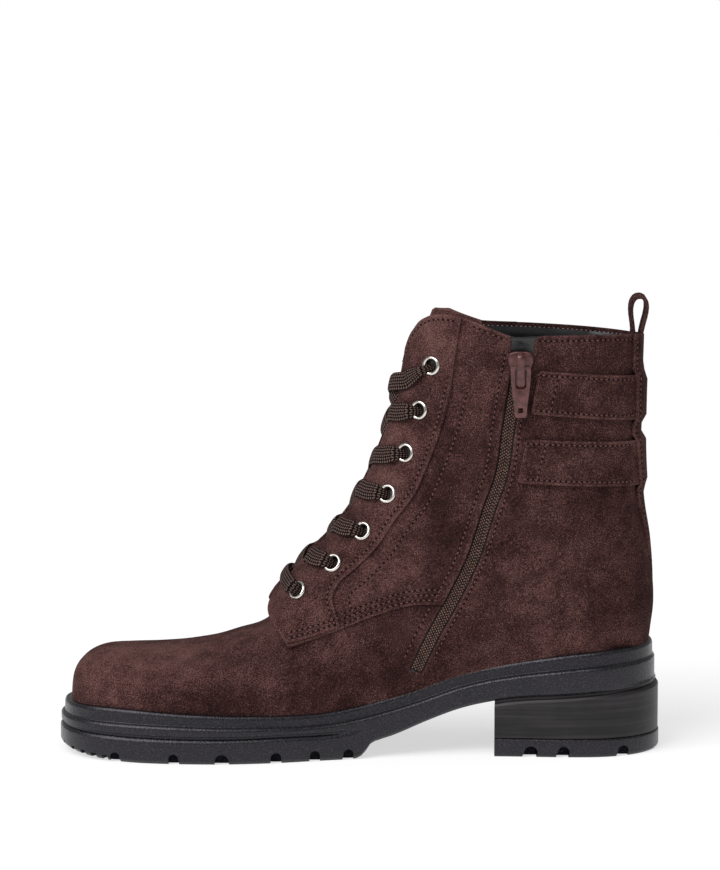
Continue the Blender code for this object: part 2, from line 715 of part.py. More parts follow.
def make_slider_and_tab():
    """The slider with its bail, and the pull tab whose top bar turns under the bail."""
    x, z = SLIDER_PLACE
    wall_y = Surface(0).at(x, z, -1)[0].y
    back_y = wall_y - QUARTER_STEP - FIT_GAP - 0.2
    face_y = back_y - SLIDER_THICK
    shield = [(-5.2, 5.6), (-5.7, 1.6), (-4.0, -5.2), (4.0, -5.2), (5.7, 1.6), (5.2, 5.6)]
    slider = side_prism([(x + a, z + b) for a, b in shield], face_y, back_y)
    reach = BAIL_REACH
    arch = [(0.8, -4.4), (1 - reach, -4.4), (-reach, -3.4), (-reach, 3.4), (1 - reach, 4.4), (0.8, 4.4)]
    bail = back_prism([(face_y + a, z + b) for a, b in arch], x - BAIL_HALF_WIDTH, x + BAIL_HALF_WIDTH)
    inside = [(1.6, -3.2), (BAIL_THICK - reach, -3.2), (BAIL_THICK - reach, 3.2), (1.6, 3.2)]
    hollow = [(face_y + a, z + b) for a, b in inside]
    combine(bail, "DIFFERENCE", back_prism(hollow, x - 5, x + 5))
    combine(slider, "UNION", bail)
    finished(slider, "zip_slider", ZIP_METAL)

    axis_y = face_y - (reach - BAIL_THICK) / 2
    axis_z = z + TAB_AXIS_DROP
    side = [(TAB_HALF_TOP, TAB_BAR), (TAB_HALF_TOP, -8.5), (TAB_HALF_END, -13.0), (TAB_HALF_END, 1 - TAB_LENGTH),
            (TAB_HALF_END - 1, -TAB_LENGTH)]
    outline = [*side, *((-a, b) for a, b in reversed(side))]
    tab = side_prism(outline, -TAB_BAR, TAB_BAR)
    slot = [(TAB_SLOT_HALF, -TAB_BAR), (TAB_SLOT_HALF, -7), (-TAB_SLOT_HALF, -7), (-TAB_SLOT_HALF, -TAB_BAR)]
    eye_top, eye_foot = 4.6 - TAB_LENGTH, 2.4 - TAB_LENGTH
    eye = [(1.1, eye_top), (1.1, eye_foot), (-1.1, eye_foot), (-1.1, eye_top)]
    combine(tab, "DIFFERENCE", side_prism(slot, -2, 2), side_prism(eye, -2, 2))
    finished(tab, "zip_pull_tab", ZIP_METAL)
    tab.location = Vector((x, axis_y, axis_z)) * MM


def eyelet_place(surface, row, side):
    x, z = EYELETS[row]
    return surface.at(x, z, side)


def make_eyelets():
    seat = Surface(QUARTER_STEP + FIT_GAP + EYESTAY_THICK, lift=FACING_LIFT)
    hole, rim = EYELET_HOLE_RADIUS, EYELET_RADIUS
    profile = ((hole, 0.0), (rim, 0.0), (rim - 0.5, 0.8), (hole + 0.4, 0.8))
    turns = EYELET_SIDES
    points = []
    for i in range(turns):
        angle = math.tau * i / turns
        points += [(r * math.cos(angle), r * math.sin(angle), h) for r, h in profile]
    count = len(profile)
    faces = []
    for i in range(turns):
        for k in range(count):
            a, b = i * count, (i + 1) % turns * count
            m = (k + 1) % count
            faces.append((a + k, b + k, b + m, a + m))
    for side, label in SIDES:
        for row in range(len(EYELETS)):
            place, normal = eyelet_place(seat, row, side)
            turn = normal.to_track_quat("Z", "Y")
            ring = solid("ring", [turn @ Vector(p) for p in points], faces)
            finished(ring, f"eyelet_{label}_{row + 1}", NICKEL)
            rise = 0
            for foot in ring.data.vertices:
                spot = place + foot.co / MM
                hit = seat.front_at(spot.y, spot.x, spot.z, normal)[0]
                rise = max(rise, (hit - place).dot(normal))
            ring.location = (place + normal * (rise + FIT_GAP / 2)) * MM


def throat_direction(row):
    """Straight out of the throat at an eyelet row, in the middle plane."""
    low = EYELETS[min(row + 1, len(EYELETS) - 1)]
    high = EYELETS[max(row - 1, 0)]
    along = Vector((high[0] - low[0], 0, high[1] - low[1])).normalized()
    return Vector((-along.z, 0, along.x))


def lace_strip(surface, row, side, other_row, ends, lift):
    """A flat strand from an eyelet across the throat, as a bent bar with the heights given over the last."""
    start = eyelet_place(surface, row, side)[0]
    goal = eyelet_place(surface, other_row, -side)[0]
    out = (throat_direction(row) + throat_direction(other_row)).normalized()
    clear = (EYELET_RADIUS + 0.6) / abs(start.y)
    first_y = start.y * (1 - clear)
    ys = np.linspace(first_y, ends * -side, LACE_STEPS)
    centres = []
    normals = []
    for y in ys:
        share = (y - start.y) / (goal.y - start.y)
        line = start.lerp(goal, share)
        place, normal = surface.front_at(y, line.x, line.z, out)
        centres.append(place + normal * lift(y * side))
        normals.append(normal)
    points = []
    for i, (centre, normal) in enumerate(zip(centres, normals)):
        along = (centres[min(i + 1, LACE_STEPS - 1)] - centres[max(i - 1, 0)]).normalized()
        across = along.cross(normal).normalized() * LACE_WIDTH / 2
        up = across.cross(along).normalized() * LACE_THICK / 2
        points += [centre - across - up, centre + across - up, centre + across + up, centre - across + up]
    faces = [(0, 1, 2, 3), tuple(4 * (LACE_STEPS - 1) + k for k in (3, 2, 1, 0))]
    for i in range(LACE_STEPS - 1):
        for k in range(4):
            m = (k + 1) % 4
            faces.append((4 * i + k, 4 * i + 4 + k, 4 * i + 4 + m, 4 * i + m))
    return solid("strand", points, faces)


def make_laces():
    surface = Surface(0, lift=FACING_LIFT)
    over = QUARTER_STEP + EYESTAY_THICK + LACE_THICK / 2 + LACE_CLEAR
    far_edge = THROAT_HALF_GAP - 1.2 - LACE_WIDTH / 3

    def dips(middle):
        """Height over the last: on the facing at its own side, then down into the throat."""
        return lambda reach: middle + (over - middle) * float(fade(0, far_edge, reach))

    for row in range(len(EYELETS) - 1):
        crossing = lace_strip(surface, row, -1, row + 1, far_edge, dips(-0.6))
        combine(crossing, "UNION", lace_strip(surface, row, 1, row + 1, far_edge, dips(0.1)))
        finished(crossing, f"lace_crossing_{row + 1}", LACE)
    last = len(EYELETS) - 1
    far_end = abs(eyelet_place(surface, last, 1)[0].y) - EYELET_RADIUS - 0.6
    bar = lace_strip(surface, last, -1, last, far_end, lambda reach: over)
    finished(bar, "lace_bar", LACE)


def main():
    clear_scene()
    make_outsole()
    make_heel()
    make_insole()
    make_upper()
    make_tongue()
    make_eyestays()
    make_backstay()
    make_straps()
    make_pull_loop()
    make_zip_chain()
    make_slider_and_tab()
    make_eyelets()
    make_laces()


main()
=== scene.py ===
"""Looks of a right suede ankle boot: sewn panels on its last, lug sole, laces, eyelets and an inner side zip.

The toe points to -X, the heel to +X, the inner (medial) side to -Y and +Z is up. Sizes are in
millimetres and become metres where a mesh is made. A place on the last is (u, v): u counts the last's
sections from the toe to the collar, and v goes once round a section, 0 at the back or underside, 1 at the
medial side, 2 at the front or top, 3 at the lateral side.
"""

import math

import bmesh
import bpy
import numpy as np
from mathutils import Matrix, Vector
from mathutils.geometry import delaunay_2d_cdt
from mathutils.kdtree import KDTree


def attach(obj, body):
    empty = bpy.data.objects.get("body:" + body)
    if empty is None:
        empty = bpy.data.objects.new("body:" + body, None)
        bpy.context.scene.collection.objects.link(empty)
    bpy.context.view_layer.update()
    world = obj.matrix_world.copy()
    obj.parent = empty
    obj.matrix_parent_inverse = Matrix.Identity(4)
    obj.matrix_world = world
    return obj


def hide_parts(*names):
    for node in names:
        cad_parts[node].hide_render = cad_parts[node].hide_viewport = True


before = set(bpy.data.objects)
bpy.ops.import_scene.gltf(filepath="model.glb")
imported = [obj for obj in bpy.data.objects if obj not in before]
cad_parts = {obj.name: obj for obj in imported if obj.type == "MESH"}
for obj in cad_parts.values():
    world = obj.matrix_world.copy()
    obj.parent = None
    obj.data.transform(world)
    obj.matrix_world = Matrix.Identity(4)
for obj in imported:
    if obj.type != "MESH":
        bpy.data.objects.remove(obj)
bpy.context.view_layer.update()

MM = 0.001

# Driving dimensions, as in the solids
SOLE_LENGTH = 282.0
FEATHER_LEDGE = 5.5
SIDE_BULGE = 0.8
TOE_TIP_WIDTH = 4.0
THROAT_HALF_GAP = 6.5
HEEL_BREAST_X = 62.4
TOP_LIFT_HEIGHT = 8.5
ZIP_HALF_WIDTH = 3.3

# Heights over the last of each layer's underside and face
SKIN = (-1.3, 0.0)
LINING = (-2.2, -1.45)
QUARTER = (-1.3, 1.0)
EYESTAY = (0.8, 2.45)
STRAP = (0.1, 2.4)
BACKSTAY = (0.1, 1.6)
TONGUE = (-5.0, -2.5)
ZIP_TAPE = (-1.35, -0.75)

# Edge of the outsole from above: x, distance of the medial and of the lateral edge from the centre line
PLAN = (
    (-141.0, 5.0, -5.0),
    (-136.0, 25.5, 9.5),
    (-127.0, 35.5, 21.5),
    (-114.0, 42.0, 32.5),
    (-98.0, 46.3, 40.6),
    (-80.0, 48.5, 46.5),
    (-60.0, 48.7, 50.0),
    (-38.0, 45.6, 51.5),
    (-16.0, 40.0, 50.0),
    (6.0, 34.8, 46.2),
    (28.0, 31.3, 42.2),
    (50.0, 30.2, 38.8),
    (74.0, 31.2, 36.4),
    (96.0, 32.8, 35.2),
    (114.0, 31.8, 32.6),
    (128.0, 25.5, 26.0),
    (137.0, 15.6, 15.8),
    (141.0, 0.0, 0.0),
)

# Heights of the sole's side lines along the boot: x, z
SOLE_TOP = ((-141, 24.2), (-125, 24.8), (-79, 23), (-53, 22), (-8, 22.9), (19, 29.2), (49, 39.4), (68, 43.4),
            (104, 48.7), (141, 51.0))
RIM_FOOT = ((-141, 18.4), (-100, 17.8), (-53, 16.8), (-8, 17.6), (24, 25), (49, 33.4), (95, 41), (141, 44.2))
WALL_GROOVE = (
    (-141, 13.6), (-100, 12.4), (-40, 12.4), (0, 14), (32, 23.4), (60, 31), (100, 35.4), (141, 38.6)
)
WAIST_UNDER = ((3, 6.4), (17, 11.0), (32, 17.2), (46, 22.4), (62, 26.2), (100, 29.6), (141, 32.8))
TOE_SPRING = ((-141, 3.6), (-128, 1.7), (-114, 0.4), (-102, 0.0), (3, 0.0))

# Sections of the last, as in the solids, after one more that rounds the tip of the toe
SECTION_COLUMNS = ("front_x", "front_z", "back_x", "back_z", "medial", "lateral", "foot", "widest",
                   "front_power", "back_power")
FIRST_SECTION = -1
SECTIONS = (
    (-135.7, 23.4, -135.7, 19.0, None, None, 1.0, 0.50, 2.4, 7.0),
    (-135.0, 32.0, -135.0, 19.0, None, None, 1.0, 0.50, 2.4, 7.0),
    (-133.8, 37.3, -133.8, 19.0, None, None, 1.0, 0.48, 2.4, 7.0),
    (-131.0, 41.9, -131.0, 19.0, None, None, 1.0, 0.46, 2.4, 7.0),
    (-126.0, 45.8, -126.0, 19.0, None, None, 1.0, 0.44, 2.4, 7.0),
    (-118.5, 47.8, -118.5, 19.0, None, None, 1.0, 0.42, 2.4, 7.0),
    (-107.0, 47.9, -107.0, 18.5, None, None, 1.0, 0.38, 2.3, 7.0),
    (-94.0, 48.0, -93.0, 18.0, None, None, 1.0, 0.34, 2.2, 7.0),
    (-80.0, 49.1, -77.0, 17.5, None, None, 1.0, 0.30, 2.1, 7.0),
    (-68.0, 51.3, -60.0, 17.0, None, None, 1.0, 0.28, 2.0, 7.0),
    (-57.0, 54.9, -43.0, 16.5, None, None, 1.0, 0.27, 1.95, 7.0),
    (-47.4, 57.6, -27.0, 16.5, 39.5, 45.0, 1.0, 0.28, 2.1, 7.0),
    (-41.0, 62.0, -11.0, 16.5, 36.5, 42.0, 1.0, 0.30, 2.35, 7.0),
    (-35.4, 71.4, 7.0, 18.0, 34.0, 39.5, 1.0, 0.33, 2.5, 7.0),
    (-26.4, 85.0, 26.0, 20.0, 32.5, 37.0, 1.0, 0.36, 2.6, 7.0),
    (-13.6, 99.0, 47.0, 26.0, 32.0, 35.0, 1.0, 0.40, 2.6, 7.0),
    (-4.0, 111.8, 69.0, 31.0, 32.5, 34.0, 1.0, 0.43, 2.5, 7.0),
    (2.4, 123.4, 92.0, 35.0, 33.0, 33.5, 1.0, 0.45, 2.45, 7.0),
    (7.4, 134.4, 114.0, 38.0, 33.0, 33.0, 1.0, 0.47, 2.4, 6.0),
    (11.5, 144.9, 127.0, 40.0, 33.0, 33.0, 0.3, 0.48, 2.4, 3.0),
    (14.9, 154.2, 134.4, 47.0, 32.8, 32.8, 0.0, 0.48, 2.4, 2.8),
    (17.8, 163.3, 136.9, 59.0, 32.5, 32.5, 0.0, 0.48, 2.4, 2.45),
    (19.9, 171.5, 138.0, 70.0, 32.0, 32.0, 0.0, 0.49, 2.4, 2.3),
    (21.4, 179.5, 137.2, 83.0, 31.5, 31.5, 0.0, 0.50, 2.4, 2.3),
    (22.7, 187.6, 134.6, 100.0, 31.0, 31.0, 0.0, 0.50, 2.4, 2.3),
    (23.8, 194.7, 131.6, 119.0, 30.0, 30.0, 0.0, 0.50, 2.4, 2.3),
    (24.8, 200.8, 130.2, 140.0, 29.0, 29.0, 0.0, 0.50, 2.4, 2.3),
    (25.8, 206.8, 130.2, 163.0, 28.0, 28.0, 0.0, 0.50, 2.4, 2.3),
    (26.8, 213.0, 130.8, 188.0, 27.3, 27.3, 0.0, 0.50, 2.4, 2.3),
    (27.6, 219.0, 131.5, 214.0, 27.0, 27.0, 0.0, 0.50, 2.4, 2.3),
)
LAST_SECTION = FIRST_SECTION + len(SECTIONS) - 1
# How far the facings stand off the last at the throat's foot, and the tongue's top behind: section, rise
FACING_LIFT = ((10.0, 4.0), (11.0, 4.0), (12.0, 3.4), (13.0, 1.2), (14.0, 0.3), (15.0, 0.0))
TONGUE_SET_BACK = ((21.0, 0.0), (22.0, -0.6), (24.0, -2.6), (26.0, -5.2), (28.0, -7.0))

# Lines on the side of the upper: x, z
COLLAR_LINE = ((10, 180), (22.2, 184), (23.2, 188), (25, 194.3), (28, 200.6), (32.6, 204.8), (39.7, 206.2),
               (49.5, 204.6), (60.1, 200.4), (69.9, 197), (81, 197), (106, 197), (124, 196.4), (150, 194.6))
COLLAR_LATERAL = ((10, 178), (22.0, 182), (23.0, 186), (25, 192), (29, 197.0), (35, 199.6), (44, 200.2),
                  (54.7, 198.5), (81, 197.1), (106, 195.8), (127, 194.6), (150, 193.6))
ZIP_LINE = ((75.0, 190), (73.7, 184), (68.7, 156), (65, 132), (59.7, 117), (52.3, 94), (44, 76.5),
            (33.4, 56.7), (25.9, 40.4))
SIDE_SEAM_FOOT = ((25.9, 40.4), (24.6, 36.0), (22.6, 27.0))
EYESTAY_REAR = ((48.8, 204), (42, 173.6), (37.5, 155), (31, 137), (25, 123.5), (15.7, 111), (6.8, 98),
                (-1.6, 89.6), (-10.8, 81), (-12.9, 76.4), (-11.6, 69), (-8.8, 62.8))
LOWER_SEAM = ((-33.6, 52.8), (-21, 56.6), (-8.8, 61), (4, 66), (15.8, 70), (24, 72), (38.5, 72.6))
EYELETS = (
    (32.8, 182.7), (27.2, 161.9), (20.8, 142.0), (12.5, 122.9), (0.9, 105.5), (-12.9, 90.6), (-29.1, 77.6)
)
TONGUE_TOP_Z = 209.2

# Straps on the side of the heel: name, front x, top and foot z there, back top and foot z
STRAPS = (
    ("strap_upper", 80.6, 181.2, 161.0, 175.0, 154.0),
    ("strap_lower", 74.6, 149.6, 129.4, 145.2, 124.0),
)
# How far the front ends of the straps lean back from foot to top
STRAP_LEAN = 3.6
STRAP_BACK_X = 150.0
# Half-width of the backstay up the back seam: z, y
BACKSTAY_EDGE = ((70, 0.6), (82, 5), (98, 9), (120, 12), (150, 13), (200, 13))


def smooth(xs, ys, at):
    """A smooth curve through the points (xs, ys), read at the places given."""
    xs = np.asarray(xs, float)
    ys = np.asarray(ys, float)
    at = np.asarray(at, float)
    slope = np.gradient(ys, xs, axis=0)
    i = np.clip(np.searchsorted(xs, at) - 1, 0, len(xs) - 2)
    step = xs[i + 1] - xs[i]
    t = (at - xs[i]) / step
    if ys.ndim > 1:
        t = t[..., None]
        step = step[..., None]
    return (
        (2 * t**3 - 3 * t**2 + 1) * ys[i]
        + (t**3 - 2 * t**2 + t) * step * slope[i]
        + (3 * t**2 - 2 * t**3) * ys[i + 1]
        + (t**3 - t**2) * step * slope[i + 1]
    )


def line_height(line, x):
    rows = np.array(line, float)
    return smooth(rows[:, 0], rows[:, 1], np.clip(x, rows[0, 0], rows[-1, 0]))


def raised(line, by):
    """The height of a line at x, moved up."""
    return lambda x: line_height(line, x) + by


def fade(low, high, x):
    t = np.clip((np.asarray(x, float) - low) / (high - low), 0, 1)
    return t * t * (3 - 2 * t)


def unit(vectors):
    return vectors / np.maximum(np.linalg.norm(vectors, axis=-1, keepdims=True), 1e-9)


def plan_ring(phis, inset):
    """Medial and lateral edge points of the sole's outline, moved inwards by inset."""
    rows = np.array(PLAN, float)
    half = SOLE_LENGTH / 2
    table_phi = np.arccos(np.clip(-rows[:, 0] / half, -1, 1))

    def edges(phi):
        phi = np.asarray(phi, float)
        reach = smooth(table_phi, rows[:, 1:], np.clip(phi, 0, math.pi))
        x = -half * np.cos(phi)
        return np.stack([x, -reach[:, 0]], 1), np.stack([x, reach[:, 1]], 1)

    small = 1e-3
    ahead = edges(np.minimum(phis + small, math.pi))
    behind = edges(np.maximum(phis - small, 0))
    rings = []
    for side, edge in enumerate(edges(phis)):
        along = unit(ahead[side] - behind[side])
        turn = 1 if side == 0 else -1
        normal = np.stack([along[:, 1], -along[:, 0]], 1) * turn
        normal[phis <= 1e-9] = (-1, 0)
        normal[phis >= math.pi - 1e-9] = (1, 0)
        rings.append(edge - normal * np.reshape(inset, (-1, 1)))
    return rings


def section_table():
    """The section rows as numbers; the last two columns, the foot's edge, are filled in from the sole."""
    medial, lateral = plan_ring(np.linspace(0, math.pi, 400), FEATHER_LEDGE * np.ones(400))
    rows = []
    for row in SECTIONS:
        named = dict(zip(SECTION_COLUMNS, row))
        share = np.linspace(0, 0.5, 51)
        x = named["back_x"] + (named["front_x"] - named["back_x"]) * share
        z = named["back_z"] + (named["front_z"] - named["back_z"]) * share
        crossing = x[np.argmax(z > line_height(SOLE_TOP, x))]
        edge_medial = np.interp(crossing, medial[:, 0], -medial[:, 1])
        edge_lateral = max(np.interp(crossing, lateral[:, 0], lateral[:, 1]), TOE_TIP_WIDTH - edge_medial)
        if named["medial"] is None:
            named["medial"] = edge_medial + SIDE_BULGE
            named["lateral"] = edge_lateral + SIDE_BULGE
        rows.append([*(named[c] for c in SECTION_COLUMNS), edge_medial, edge_lateral])
    return np.array(rows, float)


SECTION_TABLE = section_table()
SECTION_NUMBERS = np.arange(FIRST_SECTION, LAST_SECTION + 1)


def section_values(u):
    """The named columns of the section table at u, with the foot's edges."""
    values = smooth(SECTION_NUMBERS, SECTION_TABLE, np.clip(u, FIRST_SECTION, LAST_SECTION))
    names = (*SECTION_COLUMNS, "edge_medial", "edge_lateral")
    return {name: values[..., i] for i, name in enumerate(names)}


def last_point(u, v):
    """Points of the last's surface at (u, v)."""
    section = section_values(u)
    around = np.mod(v, 4.0)
    lateral = around > 2.0
    turn = np.where(lateral, 4.0 - around, around)
    widest = section["widest"]
    low_part = widest * (1 - np.cos(turn * math.pi / 2))
    high_part = widest + (1 - widest) * np.sin((turn - 1) * math.pi / 2)
    t = np.where(turn < 1, low_part, high_part)
    below = np.clip(1 - t / widest, 0, 1)
    above = np.clip((t - widest) / (1 - widest), 0, 1)
    back_shape = (1 - below ** section["back_power"]) ** (1 / section["back_power"])
    front_shape = (1 - above ** section["front_power"]) ** (1 / section["front_power"])
    shape = np.where(t < widest, back_shape, front_shape)
    rise = np.sin(math.pi / 2 * np.clip(t / widest, 0, 1))
    edges = []
    for label in ("medial", "lateral"):
        low = section[label] + (section["edge_" + label] - section[label]) * section["foot"]
        edges.append(low + (section[label] - low) * rise)
    middle = (edges[1] - edges[0]) / 2 * (1 - fade(0, 1, above) * fade(1.5, 7, u))
    half = (edges[1] + edges[0]) / 2 * shape
    x = section["back_x"] + (section["front_x"] - section["back_x"]) * t
    z = section["back_z"] + (section["front_z"] - section["back_z"]) * t
    return np.stack([x, middle + np.where(lateral, half, -half), z], -1)


def tangents(u, v):
    """Directions of the last's surface along u and along v, and straight out of it."""
    step = 0.012
    along = (last_point(u + step, v) - last_point(u - step, v)) / (2 * step)
    around = (last_point(u, v + step) - last_point(u, v - step)) / (2 * step)
    return along, around, unit(np.cross(along, around))


def front_rise(lift, u, v):
    """Extra rise over the front of the last, from a table of section and rise."""
    rows = np.array(lift)
    rise = np.where(u < rows[0, 0], 0, np.interp(u, rows[:, 0], rows[:, 1]))
    turn = np.mod(v, 4.0)
    turn = np.where(turn > 2, 4 - turn, turn)
    share = np.where(turn < 1, 5 * turn, 5 + 7 * (turn - 1)) / 12
    return rise * fade(0.1, 0.95, -np.cos(share * math.pi))


def place_on_side(line):
    """(u, v) on the medial side of points given by x and z in the side view."""
    numbers = np.linspace(FIRST_SECTION, LAST_SECTION, 1200)
    section = section_values(numbers)
    foot = np.stack([section["back_x"], section["back_z"]], 1)
    span = np.stack([section["front_x"], section["front_z"]], 1) - foot
    placed = []
    for point in np.asarray(line, float):
        off = point - foot
        cross = span[:, 0] * off[:, 1] - span[:, 1] * off[:, 0]
        share = (off * span).sum(1) / (span**2).sum(1)
        change = np.nonzero(cross[:-1] * cross[1:] <= 0)[0]
        if len(change):
            i = change[np.argmin(np.abs(share[change] - 0.5))]
            mix = cross[i] / (cross[i] - cross[i + 1] + 1e-12)
        else:
            i = min(int(np.argmin(np.abs(cross))), len(numbers) - 2)
            mix = 0.0
        t = np.clip(share[i] + mix * (share[i + 1] - share[i]), 0, 1)
        widest = section["widest"][i]
        if t < widest:
            v = math.acos(1 - t / widest) * 2 / math.pi
        else:
            v = 1 + math.asin((t - widest) / (1 - widest)) * 2 / math.pi
        placed.append((numbers[i] + mix * (numbers[i + 1] - numbers[i]), v))
    return np.array(placed)


def through(points, spacing=1.2):
    """Points along a smooth line through those given, at an even spacing."""
    rows = np.array(points, float)
    run = np.concatenate([[0], np.cumsum(np.linalg.norm(np.diff(rows, axis=0), axis=1))])
    return smooth(run, rows, np.linspace(0, run[-1], max(2, int(run[-1] / spacing) + 1)))


def side_line(points, spacing=1.2):
    return place_on_side(through(points, spacing))


def place_on_skin(line, height, lift=None):
    """(u, v) of points given by x and z in the side view, on leather at a height over the last."""
    goal = np.asarray(line, float)
    aim = goal.copy()
    for _ in range(4):
        placed = place_on_side(aim)
        reached = skin_points(placed, np.full(len(placed), height), lift)[:, (0, 2)]
        aim = aim + 0.8 * (goal - reached)
    return place_on_side(aim)


def moved_aside(points, by):
    """A line in the side view moved sideways, to its left for a positive distance."""
    rows = np.array(points, float)
    along = unit(np.gradient(rows, axis=0))
    return rows + np.stack([-along[:, 1], along[:, 0]], 1) * by


def over_front(line):
    """The same line on the lateral side, reached round the front."""
    return np.stack([line[:, 0], 4 - line[:, 1]], 1)


def over_back(line):
    """The same line on the lateral side, reached round the back."""
    return np.stack([line[:, 0], -line[:, 1]], 1)


def over_collar(points):
    """How far points lie above the collar, which is a little lower on the lateral side."""
    medial, lateral = (
        line_height(line, points[..., 0]) for line in (COLLAR_LINE, COLLAR_LATERAL)
    )
    return points[..., 2] - medial - (lateral - medial) * fade(-14, 14, points[..., 1])


def level_line(v, above, low=12.0):
    """The line on the last, over the v given, where a height function passes zero."""
    low = np.full(len(v), low)
    high = np.full(len(v), float(LAST_SECTION))
    for _ in range(30):
        middle = (low + high) / 2
        under = above(last_point(middle, v)) < 0
        low = np.where(under, middle, low)
        high = np.where(under, high, middle)
    return np.stack([(low + high) / 2, v], 1)


def collar_line(v_from, v_to, drop=0.0):
    count = int(abs(v_to - v_from) * 60) + 2
    return level_line(np.linspace(v_from, v_to, count), lambda p: over_collar(p) + drop)


def gap_line(u_from, u_to, half_gap):
    """The line on the medial side where the last is half_gap from the middle plane, near its front."""
    u = np.linspace(u_from, u_to, int(abs(u_to - u_from) * 10) + 2)
    low = np.full(len(u), 1.1)
    high = np.full(len(u), 2.0)
    for _ in range(30):
        middle = (low + high) / 2
        wide = -last_point(u, middle)[:, 1] > half_gap
        low = np.where(wide, middle, low)
        high = np.where(wide, high, middle)
    return np.stack([u, (low + high) / 2], 1)


def sole_line(x_from, x_to):
    """The foot of the upper on the medial side, just below the sole's top."""
    x = np.linspace(x_from, x_to, int(abs(x_to - x_from) / 1.5) + 2)
    return place_on_side(np.stack([x, line_height(SOLE_TOP, x) - 0.9], 1))


def shifted(line, by, closed=False):
    """A line moved over the last's surface, to its left seen from outside for a positive distance."""
    u, v = line[:, 0], line[:, 1]
    points = last_point(u, v)
    if closed:
        direction = unit(np.roll(points, -1, 0) - np.roll(points, 1, 0))
    else:
        direction = unit(np.gradient(points, axis=0))
    along, around, normal = tangents(u, v)
    goal = np.cross(normal, direction) * by
    a = (along * along).sum(1)
    b = (along * around).sum(1)
    c = (around * around).sum(1)
    p = (goal * along).sum(1)
    q = (goal * around).sum(1)
    area = np.maximum(a * c - b * b, 1e-6)
    return line + np.stack([(c * p - b * q) / area, (a * q - b * p) / area], 1)


def closed_loop(*lines, spacing=1.1):
    """One even loop on the last from lines that follow each other."""
    ring = np.concatenate([*lines, lines[0][:1]])
    points = last_point(ring[:, 0], ring[:, 1])
    run = np.concatenate([[0], np.cumsum(np.linalg.norm(np.diff(points, axis=0), axis=1) + 1e-6)])
    at = np.linspace(0, run[-1], int(run[-1] / spacing) + 1)[:-1]
    return np.stack([np.interp(at, run, ring[:, 0]), np.interp(at, run, ring[:, 1])], 1)


def inside(points, loop):
    """Which points lie inside a loop, both in (u, v)."""
    x, y = points[:, 0][:, None], points[:, 1][:, None]
    x0, y0 = loop[:, 0], loop[:, 1]
    x1, y1 = np.roll(x0, -1), np.roll(y0, -1)
    rise = np.where(np.abs(y1 - y0) < 1e-12, 1e-12, y1 - y0)
    crosses = ((y0 > y) != (y1 > y)) & (x < (x1 - x0) * (y - y0) / rise + x0)
    return crosses.sum(1) % 2 == 1


def distance_to(lines, points):
    """Distance in space from each point to the nearest of some lines on the last."""
    samples = []
    for line in lines:
        fine = np.linspace(0, len(line) - 1, 3 * len(line))
        whole = np.arange(len(line))
        samples.append(last_point(np.interp(fine, whole, line[:, 0]), np.interp(fine, whole, line[:, 1])))
    samples = np.concatenate(samples)
    tree = KDTree(len(samples))
    for i, sample in enumerate(samples):
        tree.insert(sample, i)
    tree.balance()
    return np.array([tree.find(point)[2] for point in points])


# Soft folds of the worn leather, as short lines on the side: x, z of both ends, side, half-width, height
FOLD_COLUMNS = ("x_from", "z_from", "x_to", "z_to", "side", "half_width", "height")
FOLDS = (
    (96, 116, 128, 112, -1, 6.0, -0.7),
    (92, 106, 126, 100, -1, 6.5, 0.5),
    (58, 86, 96, 74, -1, 8.0, -0.6),
    (20, 92, 44, 106, -1, 8.0, -0.5),
    (-6, 78, 18, 86, -1, 7.0, 0.4),
    (-62, 40, -34, 46, -1, 7.0, -0.5),
    (-78, 44, -52, 33, -1, 7.0, 0.45),
    (96, 116, 128, 112, 1, 6.0, -0.7),
    (58, 86, 96, 74, 1, 8.0, -0.6),
    (20, 92, 44, 106, 1, 8.0, -0.5),
    (-62, 40, -34, 46, 1, 7.0, -0.5),
    (-78, 44, -52, 33, 1, 7.0, 0.45),
)


def fold_height(points):
    """How far the folds raise or sink the leather at points in space."""
    total = np.zeros(len(points))
    flat = points[:, (0, 2)]
    for row in FOLDS:
        fold = dict(zip(FOLD_COLUMNS, row))
        start = np.array((fold["x_from"], fold["z_from"]), float)
        run = np.array((fold["x_to"], fold["z_to"]), float) - start
        length = np.linalg.norm(run)
        run /= length
        along = (flat - start) @ run
        across = (flat - start) @ np.array((-run[1], run[0]))
        ends = fade(-0.25 * length, 0.3 * length, along) * (1 - fade(0.7 * length, 1.25 * length, along))
        near = np.exp(-((across / fold["half_width"]) ** 2))
        total += fold["height"] * near * ends * (points[:, 1] * fold["side"] > 0)
    return total


def skin_points(uv, height, lift=None):
    """Points over the last at the heights given, with the leather's folds and a lift over what is below."""
    u, v = uv[:, 0], uv[:, 1]
    base = last_point(u, v)
    rise = lift(u, v, base) if lift else 0
    total = height + rise + fold_height(base)
    return base + tangents(u, v)[2] * np.reshape(total, (-1, 1))


def facing_lift(u, v, base):
    return front_rise(FACING_LIFT, u, v)


def tongue_lift(u, v, base):
    return front_rise(TONGUE_SET_BACK, u, v)


def lining_lift(u, v, base):
    """The lining's roll outwards at the collar, where it meets the edge of the suede."""
    return 1.3 * fade(-5.0, -0.6, over_collar(base))


def strap_lift(u, v, base):
    """The backstay's rise where it passes over the straps."""
    rise = np.zeros(len(base))
    for _, front_x, top, foot, back_top, back_foot in STRAPS:
        share = (base[:, 0] - front_x) / (STRAP_BACK_X - front_x)
        above = top + (back_top - top) * share - base[:, 2]
        below = base[:, 2] - foot - (back_foot - foot) * share
        rise = np.maximum(rise, fade(-3.0, 0.6, np.minimum(above, below)))
    sink = (BACKSTAY[1] + 0.2) * (1 - fade(72, 104, base[:, 2]))
    return rise * (STRAP[1] - STRAP[0]) - sink


